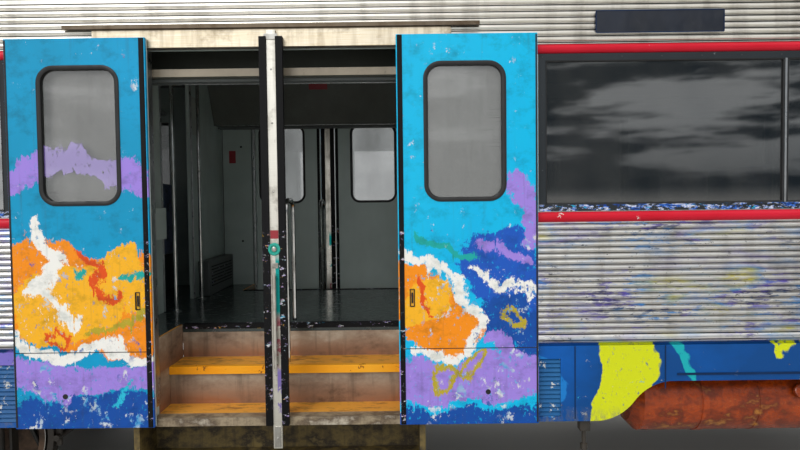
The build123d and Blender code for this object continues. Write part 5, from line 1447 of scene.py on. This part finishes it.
class RAILCAR_OT_cab_face(bpy.types.Operator):
    """Add the lamp lenses, wipers, gaskets and tail lamps of the two ends"""

    bl_idname = "railcar.cab_face"
    bl_label = "Cab and end fittings"

    lamp_z, lamp_front = 1.59, 0.045

    def execute(self, context):
        lenses, tails, arms, rails = (bmesh.new() for _ in range(4))
        for side in (-1, 1):
            for y in (0.72, 0.98):
                centre = (nose_end + self.lamp_front, side * y, self.lamp_z)
                dome = ((-0.004, 0.080), (0.004, 0.078), (0.010, 0.060), (0.013, 0.030), (0.014, 0.0))
                add_turned(lenses if y < 0.9 else tails, centre, (1, 0, 0), dome, 32)
            pivot = Vector((nose_end + 0.004, side * 0.56, 2.06))
            top = pivot + Vector((-0.135, -side * 0.18, 0.66))
            add_tube(arms, (pivot, pivot + Vector((0.022, 0, 0.02)), top + Vector((0.022, 0, 0))), 0.009, 10)
            blade = top + Vector((0.016, 0, 0))
            add_tube(
                arms, (blade + Vector((0.045, 0, -0.30)), blade, blade + Vector((-0.045, 0, 0.26))), 0.008,
                8,
            )
            add_turned(
                arms, pivot, (1, 0, 0), ((-0.002, 0.030), (0.014, 0.028), (0.022, 0.016), (0.023, 0)), 20,
            )
            for end, reach in ((1, nose_end), (-1, car_end)):
                y = side * (1.16 if end > 0 else 0.80)
                low, high = (1.34, 1.95) if end > 0 else (1.45, 2.90)
                path = (
                    (reach - end * 0.002, y, low), (reach + end * 0.06, y, low + 0.03),
                    (reach + end * 0.06, y, high - 0.03), (reach - end * 0.002, y, high),
                )
                add_tube(rails, path, 0.014, 12)
            centre = (car_end, side * 1.12, 1.72)
            add_turned(
                tails, centre, (-1, 0, 0), ((-0.002, 0.07), (0.03, 0.07), (0.045, 0.055), (0.05, 0.0)), 28,
            )
        self.screens()
        finish_piece("headlamp_lenses", lenses, "lamp", smooth=True)
        finish_piece("tail_lamps", tails, "tail", smooth=True)
        finish_piece("screen_wipers", arms, "rubber", smooth=True)
        finish_piece("end_grab_rails", rails, "chrome", smooth=True)
        return {"FINISHED"}

    def screens(self):
        """Rubber gaskets round the raked windscreens and the cab's side lights, and a blank display above."""
        gaskets, display = bmesh.new(), bmesh.new()
        rake = math.atan2(0.300, 1.400)
        up = Vector((-math.sin(rake), 0.0, math.cos(rake)))
        out = Vector((math.cos(rake), 0.0, math.sin(rake)))
        across = Vector((0.0, 1.0, 0.0))
        middle = Vector((nose_end - 0.150, 0.0, 2.810))
        lip = (
            (-0.024, -0.004), (-0.022, 0.005), (-0.008, 0.009), (0.006, 0.003), (0.012, -0.014),
            (0.010, -0.022),
        )
        for y in (-0.56, 0.56):
            add_ring_in_plane(gaskets, middle + across * y, across, up, 1.000, 0.980, 0.060, lip)
        side_lip = [(inset, skin_y + lift) for inset, lift in lip]
        for side in (-1, 1):
            add_frame_ring(gaskets, nose_end - 0.700, 2.670, 0.560, 0.700, 0.060, side_lip, side)
        head = middle + up * 0.600
        rim = ((0.0, -0.004), (0.0, 0.010), (0.014, 0.010), (0.016, 0.003))
        add_ring_in_plane(gaskets, head, across, up, 1.160, 0.150, 0.020, rim)
        corners = [
            head + across * (0.57 * i) + up * (0.066 * k) for i, k in ((-1, -1), (1, -1), (1, 1), (-1, 1))
        ]
        add_sections(display, [[corner + out * lift for corner in corners] for lift in (-0.003, 0.005)])
        finish_piece("cab_gaskets", gaskets, "seal", smooth=True)
        finish_piece("cab_display_blank", display, "plate")


class RAILCAR_OT_running_gear(bpy.types.Operator):
    """Add the axle covers, brake blocks and beams, sand pipes and air pipes of the bogies"""

    bl_idname = "railcar.running_gear"
    bl_label = "Running gear"

    tread_radius, tread_y, box_face, frame_face = 0.430, 0.880, 1.085, 1.085
    shoe_gap, shoe_depth, shoe_half = 0.008, 0.045, 0.042

    def execute(self, context):
        for bogie in ("rear", "front"):
            low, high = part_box(f"bogie_frame_{bogie}")
            middle = (low.x + high.x) / 2
            covers, shoes, pipes, guards = (bmesh.new() for _ in range(4))
            for hand in (-1, 1):
                axle = middle + hand * half_base
                for side in (-1, 1):
                    self.axle_cover(covers, axle, side)
                    self.sand_pipe(pipes, guards, middle, axle, hand, side)
                    for way in (-1, 1):
                        self.brake_shoe(shoes, axle, way, side)
                for way in (-1, 1):
                    x = axle + way * (self.tread_radius + self.shoe_gap + self.shoe_depth + 0.022)
                    add_tube(shoes, ((x, -0.93, axle_z - 0.02), (x, 0.93, axle_z - 0.02)), 0.024, 14)
                    for y in (-0.55, 0.55):
                        add_plate(
                            shoes, (x - 0.012, y - 0.03, axle_z - 0.05),
                            (x + 0.012, y + 0.03, axle_z + 0.16), 0.003,
                        )
            for side in (-1, 1):
                self.air_pipe(pipes, middle, side)
            body = f"bogie_{bogie}"
            finish_piece(f"axle_covers_{bogie}", covers, "iron", body)
            finish_piece(f"brake_shoes_{bogie}", shoes, "iron", body)
            finish_piece(f"bogie_pipes_{bogie}", pipes, "pipe", body, smooth=True)
            finish_piece(f"rail_guards_{bogie}", guards, "dark", body)
        return {"FINISHED"}

    def axle_cover(self, bm, axle, side):
        """A round cast cover over the journal, with six bolts."""
        centre = Vector((axle, side * self.box_face, axle_z))
        cover = ((-0.001, 0.104), (0.010, 0.104), (0.015, 0.098), (0.016, 0.082),
                 (0.030, 0.078), (0.034, 0.070), (0.034, 0.030), (0.037, 0.026), (0.037, 0.0))
        add_turned(bm, centre, (0, side, 0), cover, 32)
        for k in range(6):
            turn = math.pi / 3 * (k + 0.5)
            at = centre + Vector((0.091 * math.cos(turn), side * 0.014, 0.091 * math.sin(turn)))
            add_turned(bm, at, (0, side, 0), ((0.0, 0.009), (0.008, 0.009), (0.009, 0.0)), 6)

    def brake_shoe(self, bm, axle, way, side):
        """A curved block just off the tread, its holder, and the hanger up to the frame."""
        inner = self.tread_radius + self.shoe_gap
        centre_y = side * self.tread_y
        sections = []
        for k in range(9):
            turn = math.radians(-24 + 6 * k)
            section = []
            for reach, across in (
                (inner, -1), (inner, 1), (inner + self.shoe_depth, 1), (inner + self.shoe_depth, -1),
            ):
                section.append((
                    axle + way * reach * math.cos(turn),
                    centre_y + across * self.shoe_half,
                    axle_z + reach * math.sin(turn),
                ))
            sections.append(section)
        add_sections(bm, sections)
        x = axle + way * (inner + self.shoe_depth + 0.02)
        ys = (centre_y - 0.012, centre_y + 0.012)
        add_plate(bm, (x - 0.022, ys[0], axle_z - 0.09), (x + 0.022, ys[1], axle_z + 0.12), 0.003)
        add_tube(bm, ((x, centre_y, axle_z + 0.08), (x, side * 0.94, 0.76), (x, side * 1.0, 0.78)), 0.014, 10)

    def sand_pipe(self, pipes, guards, middle, axle, hand, side):
        """The sand pipe before the outer wheel, and the guard plate with its arm over the rail."""
        end = middle + hand * 1.49
        tip = (axle + hand * 0.40, side * 0.875, 0.085)
        path = ((end, side * 1.00, 0.74), (end + hand * 0.05, side * 0.95, 0.62),
                (end + hand * 0.12, side * 0.885, 0.36), (end + hand * 0.10, side * 0.875, 0.20), tip)
        add_tube(pipes, path, 0.017, 12)
        plate_x = (middle + hand * 1.485, middle + hand * 1.505)
        side_plate(guards, side, plate_x, (0.99, 1.07), (0.30, 0.72), 0.003)
        arm = (
            (middle + hand * 1.495, side * 1.02, 0.34), (middle + hand * 1.64, side * 0.92, 0.28),
            (middle + hand * 1.68, side * 0.88, 0.13),
        )
        add_tube(guards, arm, 0.020, 8)

    def air_pipe(self, pipes, middle, side):
        """A thin pipe clipped to the outer face of the side frame."""
        y = side * (self.frame_face + 0.012)
        path = [(middle + along, y, z) for along, z in (
            (-1.36, 0.80), (-0.86, 0.80), (-0.62, 0.69), (0.62, 0.69), (0.86, 0.80), (1.36, 0.80),
        )]
        add_tube(pipes, path, 0.010, 10)
        for along, z in ((-1.2, 0.80), (-0.95, 0.80), (-0.4, 0.69), (0.4, 0.69), (0.95, 0.80), (1.2, 0.80)):
            side_plate(
                pipes, side, (middle + along - 0.012, middle + along + 0.012),
                (self.frame_face - 0.001, self.frame_face + 0.025), (z - 0.020, z + 0.020), 0.003,
            )


class RAILCAR_OT_underside(bpy.types.Operator):
    """Add the pipes, box doors, tank straps and filler, and engine ribs under the floor"""

    bl_idname = "railcar.underside"
    bl_label = "Underside"

    # Columns: near and far end along the car, side, foot
    boxes = (
        (-3.4, -1.2, 1, 0.51), (-0.6, 1.2, 1, 0.55), (-0.6, 1.2, -1, 0.55), (1.8, 3.6, -1, 0.48),
        (1.8, 3.6, 1, 0.48),
    )
    box_face, box_head, bevel = 1.28, 0.99, 0.09
    pipe_z, beam_bottom = 1.020, 1.05
    clips, first_clip, clip_gap = 18, -12.3, 1.43
    tank_y, tank_z, tank_radius = 1.09, 0.783, 0.25

    def execute(self, context):
        pipes, doors, straps, ribs = (bmesh.new() for _ in range(4))
        for side in (-1, 1):
            for y, radius in ((0.600, 0.018), (0.652, 0.013)):
                add_tube(pipes, ((-12.5, side * y, self.pipe_z), (12.2, side * y, self.pipe_z)), radius, 12)
            for k in range(self.clips):
                x = self.first_clip + self.clip_gap * k
                side_plate(
                    pipes, side, (x - 0.02, x + 0.02), (0.575, 0.672),
                    (self.pipe_z - 0.024, self.beam_bottom + 0.01), 0.003,
                )
        for low, high, side, foot in self.boxes:
            self.box_doors(doors, low, high, side, foot)
        self.tank_fittings(straps)
        self.engine_ribs(ribs)
        finish_piece("underfloor_pipes", pipes, "pipe", smooth=True)
        finish_piece("box_doors", doors, "dark")
        finish_piece("tank_straps", straps, "tank")
        finish_piece("engine_ribs", ribs, "iron")
        return {"FINISHED"}

    def box_doors(self, bm, low, high, side, foot):
        """Doors on a box's outer face, with latches and hinges, and louvres on every second one."""
        count = round((high - low) / 0.6)
        wide = (high - low) / count
        base, head = foot + self.bevel + 0.02, self.box_head - 0.02
        face = self.box_face
        for k in range(count):
            x = low + wide * (k + 0.5)
            half = wide / 2 - 0.02
            side_plate(bm, side, (x - half, x + half), (face - 0.001, face + 0.006), (base, head), 0.002)
            for at in (-0.3, 0.3):
                latch = (x + at * wide, side * (face + 0.006), base + 0.05)
                add_turned(
                    bm, latch, (0, side, 0),
                    ((-0.001, 0.020), (0.006, 0.020), (0.008, 0.012), (0.016, 0.010), (0.017, 0)), 16,
                )
                hinge = (
                    (x + at * wide - 0.05, side * (face + 0.010), head - 0.01),
                    (x + at * wide + 0.05, side * (face + 0.010), head - 0.01),
                )
                add_tube(bm, hinge, 0.008, 8)
            if k % 2:
                continue
            for row in range(6):
                z = base + 0.13 + 0.034 * row
                slat = (x - half * 0.75, x + half * 0.75)
                side_plate(bm, side, slat, (face + 0.004, face + 0.014), (z, z + 0.014), 0.003)

    def tank_fittings(self, bm):
        """Straps round the barrel, two weld beads, the filler and the drain."""
        for x, width, proud in (
            (-2.90, 0.05, 0.005), (-1.45, 0.05, 0.005), (-2.52, 0.010, 0.003), (-1.82, 0.010, 0.003),
        ):
            ring = ((-width / 2, self.tank_radius - 0.002), (-width / 2, self.tank_radius + proud),
                    (width / 2, self.tank_radius + proud), (width / 2, self.tank_radius - 0.002))
            add_turned(bm, (x, -self.tank_y, self.tank_z), (1, 0, 0), ring, 48)
        out = Vector((0, -1, 0.35)).normalized()
        mouth = Vector((-2.25, -self.tank_y, self.tank_z)) + out * (self.tank_radius - 0.02)
        neck = ((0.0, 0.040), (0.045, 0.040), (0.046, 0.052), (0.066, 0.052), (0.070, 0.044), (0.072, 0.0))
        add_turned(bm, mouth, out, neck, 28)
        foot = (-1.1, -self.tank_y, self.tank_z - self.tank_radius + 0.006)
        add_turned(
            bm, foot, (0, 0, -1),
            ((0.0, 0.030), (0.014, 0.030), (0.015, 0.018), (0.030, 0.018), (0.031, 0.0)), 6,
        )

    def engine_ribs(self, bm):
        """Cast ribs on the sides of the engine's block, its sump and its drive flange."""
        low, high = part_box("engine_block")
        for side in (-1, 1):
            for k in range(17):
                x = low.x + 0.09 + 0.125 * k
                side_plate(
                    bm, side, (x, x + 0.022), (high.y - 0.001, high.y + 0.014),
                    (low.z + 0.05, high.z - 0.03), 0.003,
                )
            side_plate(
                bm, side, (low.x + 0.05, high.x - 0.05), (high.y - 0.001, high.y + 0.020),
                (low.z + 0.27, low.z + 0.31), 0.004,
            )
        shaft = (low.x, 0.0, 0.72)
        flange = (
            (-0.001, 0.13), (0.02, 0.13), (0.021, 0.07), (0.12, 0.07), (0.121, 0.10), (0.14, 0.10),
            (0.141, 0.0),
        )
        add_turned(bm, shaft, (-1, 0, 0), flange, 28)


class RAILCAR_OT_roof_and_ends(bpy.types.Operator):
    """Add the horns and aerial of the roof, and the couplings, brake cocks and sockets of the two ends"""

    bl_idname = "railcar.roof_and_ends"
    bl_label = "Roof and end details"

    hook_z, pipe_z = 1.08, 1.16

    def execute(self, context):
        horns, links, sockets = (bmesh.new() for _ in range(3))
        for y in (-0.13, 0.13):
            trumpet = (
                (-0.10, 0.020), (0.02, 0.018), (0.14, 0.030), (0.22, 0.052), (0.225, 0.050), (0.15, 0.024),
                (0.10, 0.0),
            )
            add_turned(horns, (10.70, y, roof_top + 0.095), (1, 0, 0), trumpet, 24)
            add_plate(horns, (10.62, y - 0.012, roof_top - 0.02), (10.66, y + 0.012, roof_top + 0.09), 0.003)
        add_turned(
            horns, (9.2, 0.0, roof_top - 0.01), (0, 0, 1),
            ((0.0, 0.07), (0.02, 0.07), (0.05, 0.045), (0.14, 0.030), (0.15, 0.0)), 24,
        )
        for end, face in ((1, nose_end), (-1, car_end)):
            self.coupling(links, end, face)
            for y in (-0.34, -0.46, 0.34, 0.46):
                self.brake_cock(sockets, end, face, y)
            for y in (-0.62, 0.62):
                add_plate(
                    sockets, (face - end * 0.001, y - 0.07, 1.13), (face + end * 0.10, y + 0.07, 1.24),
                    0.006,
                )
                at = (face + end * 0.10, y, 1.185)
                add_turned(
                    sockets, at, (end, 0, 0),
                    ((-0.001, 0.045), (0.012, 0.045), (0.016, 0.036), (0.017, 0.0)), 24,
                )
        finish_piece("roof_horns", horns, "dull", smooth=True)
        finish_piece("screw_couplings", links, "iron")
        finish_piece("end_sockets", sockets, "dark")
        return {"FINISHED"}

    def coupling(self, bm, end, face):
        """A screw coupling that hangs from the eye of the drawhook."""
        x = face + end * 0.24
        for y in (-0.055, 0.055):
            add_tube(bm, ((x, y, self.hook_z), (x, y, self.hook_z - 0.24)), 0.016, 12)
        add_tube(bm, ((x, -0.075, self.hook_z), (x, 0.075, self.hook_z)), 0.020, 14)
        add_tube(bm, ((x, -0.085, self.hook_z - 0.24), (x, 0.085, self.hook_z - 0.24)), 0.026, 14)
        add_turned(
            bm, (x, 0.0, self.hook_z - 0.24), (0, 0, -1),
            [(0.012 * k, 0.022 if k % 2 else 0.018) for k in range(24)], 16,
        )
        low = self.hook_z - 0.24 - 0.012 * 23
        add_tube(bm, ((x, -0.085, low), (x, 0.085, low)), 0.024, 14)
        loop = (
            (x, -0.07, low), (x, -0.07, low - 0.14), (x, -0.03, low - 0.20), (x, 0.03, low - 0.20),
            (x, 0.07, low - 0.14), (x, 0.07, low),
        )
        add_tube(bm, loop, 0.015, 12)

    def brake_cock(self, bm, end, face, y):
        """A brake pipe's end with its cock, handle and screwed cap, closed as on a car that stands alone."""
        tip = face + end * 0.085
        add_tube(bm, ((face - end * 0.002, y, self.pipe_z), (tip, y, self.pipe_z)), 0.024, 14)
        cap = ((-0.004, 0.0), (-0.004, 0.034), (0.018, 0.034), (0.022, 0.028), (0.034, 0.020), (0.035, 0.0))
        add_turned(bm, (tip, y, self.pipe_z), (end, 0, 0), cap, 8)
        stem = face + end * 0.05
        handle_low = (stem - 0.03, y - 0.008, self.pipe_z + 0.02)
        handle_high = (stem + 0.03, y + 0.008, self.pipe_z + 0.06)
        add_plate(bm, handle_low, handle_high, 0.003)


class RAILCAR_OT_saloon_fittings(bpy.types.Operator):
    """Add the lights, rack rods and grab poles of the saloon, and the controls of the desk"""

    bl_idname = "railcar.saloon_fittings"
    bl_label = "Saloon and cab fittings"

    light_y, light_z = 0.36, 3.548

    def execute(self, context):
        lights, rods, controls = bmesh.new(), bmesh.new(), bmesh.new()
        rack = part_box("luggage_racks")
        for start, count in window_rows:
            for i in range(count):
                x = start + i * window_pitch
                for side in (-1, 1):
                    side_plate(
                        lights, side, (x + 0.20, x + window_pitch - 0.20),
                        (self.light_y - 0.07, self.light_y + 0.07), (self.light_z - 0.032, self.light_z),
                        0.010,
                    )
            length = count * window_pitch
            for side in (-1, 1):
                for y in (1.02, 1.12, 1.22, 1.32):
                    path = (
                        (start + 0.09, side * y, rack[1].z + 0.02),
                        (start + length - 0.09, side * y, rack[1].z + 0.02),
                    )
                    add_tube(rods, path, 0.008, 8)
        for x, side in doorway_sides():
            for hand in (-1, 1):
                at = (x + hand * 1.10, side * 0.34)
                add_tube(rods, ((*at, floor_top), (*at, 3.545)), 0.017, 16)
                add_turned(
                    rods, (*at, floor_top), (0, 0, 1),
                    ((0.0, 0.040), (0.008, 0.040), (0.014, 0.020), (0.020, 0.018)), 20,
                )
        self.desk_controls(controls)
        finish_piece("saloon_lights", lights, "light")
        finish_piece("saloon_rods", rods, "chrome", smooth=True)
        finish_piece("desk_controls", controls, "screw", smooth=True)
        return {"FINISHED"}

    @staticmethod
    def desk_controls(bm):
        """Two levers, a row of buttons and three round dials on the desk."""
        low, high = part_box("cab_desk")
        middle = (low.x + high.x) / 2
        for y in (-0.72, -0.14):
            add_tube(bm, ((middle, y, high.z - 0.01), (middle - 0.02, y, high.z + 0.10)), 0.010, 12)
            add_turned(
                bm, (middle - 0.02, y, high.z + 0.11), (0, 0, 1),
                ((-0.02, 0.0), (-0.015, 0.018), (0.0, 0.024), (0.015, 0.018), (0.02, 0.0)), 16,
            )
        for k in range(8):
            spot = (low.x + 0.06, -0.66 + 0.06 * k, high.z)
            add_turned(
                bm, spot, (0, 0, 1), ((-0.002, 0.012), (0.010, 0.012), (0.012, 0.008), (0.013, 0.0)), 14,
            )
        for y in (-0.58, -0.43, -0.28):
            rim = ((-0.002, 0.058), (0.012, 0.058), (0.014, 0.050), (0.006, 0.048), (0.006, 0.0))
            add_turned(bm, (high.x - 0.09, y, high.z), (0, 0, 1), rim, 28)


class RAILCAR_PT_panel(bpy.types.Panel):
    """Shows the car's settings and the buttons of its operators in the sidebar"""

    bl_label = "Railcar"
    bl_space_type = "VIEW_3D"
    bl_region_type = "UI"
    bl_category = "Railcar"

    def draw(self, context):
        layout = self.layout
        for group in ("railcar_paint", "railcar_trim", "railcar_stage"):
            settings = getattr(context.scene, group)
            for name in settings.__annotations__:
                layout.prop(settings, name)
        for operator in OPERATORS:
            layout.operator(operator.bl_idname)


OPERATORS = (
    RAILCAR_OT_stage,
    RAILCAR_OT_body_finish,
    RAILCAR_OT_leaf_trim,
    RAILCAR_OT_post_fittings,
    RAILCAR_OT_doorway_trim,
    RAILCAR_OT_window_trim,
    RAILCAR_OT_side_fittings,
    RAILCAR_OT_benches,
    RAILCAR_OT_cab_face,
    RAILCAR_OT_running_gear,
    RAILCAR_OT_underside,
    RAILCAR_OT_roof_and_ends,
    RAILCAR_OT_saloon_fittings,
)
GROUPS = (
    ("railcar_paint", RailcarPaintSettings),
    ("railcar_trim", RailcarTrimSettings),
    ("railcar_stage", RailcarStageSettings),
)


def register():
    for name, group in GROUPS:
        bpy.utils.register_class(group)
        setattr(bpy.types.Scene, name, bpy.props.PointerProperty(type=group))
    for cls in OPERATORS + (RAILCAR_PT_panel,):
        bpy.utils.register_class(cls)


def unregister():
    for cls in reversed(OPERATORS + (RAILCAR_PT_panel,)):
        bpy.utils.unregister_class(cls)
    for name, group in reversed(GROUPS):
        delattr(bpy.types.Scene, name)
        bpy.utils.unregister_class(group)


def main():
    """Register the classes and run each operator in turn."""
    register()
    mix_finishes()
    for operator in OPERATORS:
        group, name = operator.bl_idname.split(".")
        getattr(getattr(bpy.ops, group), name)()


if __name__ == "__main__":
    main()
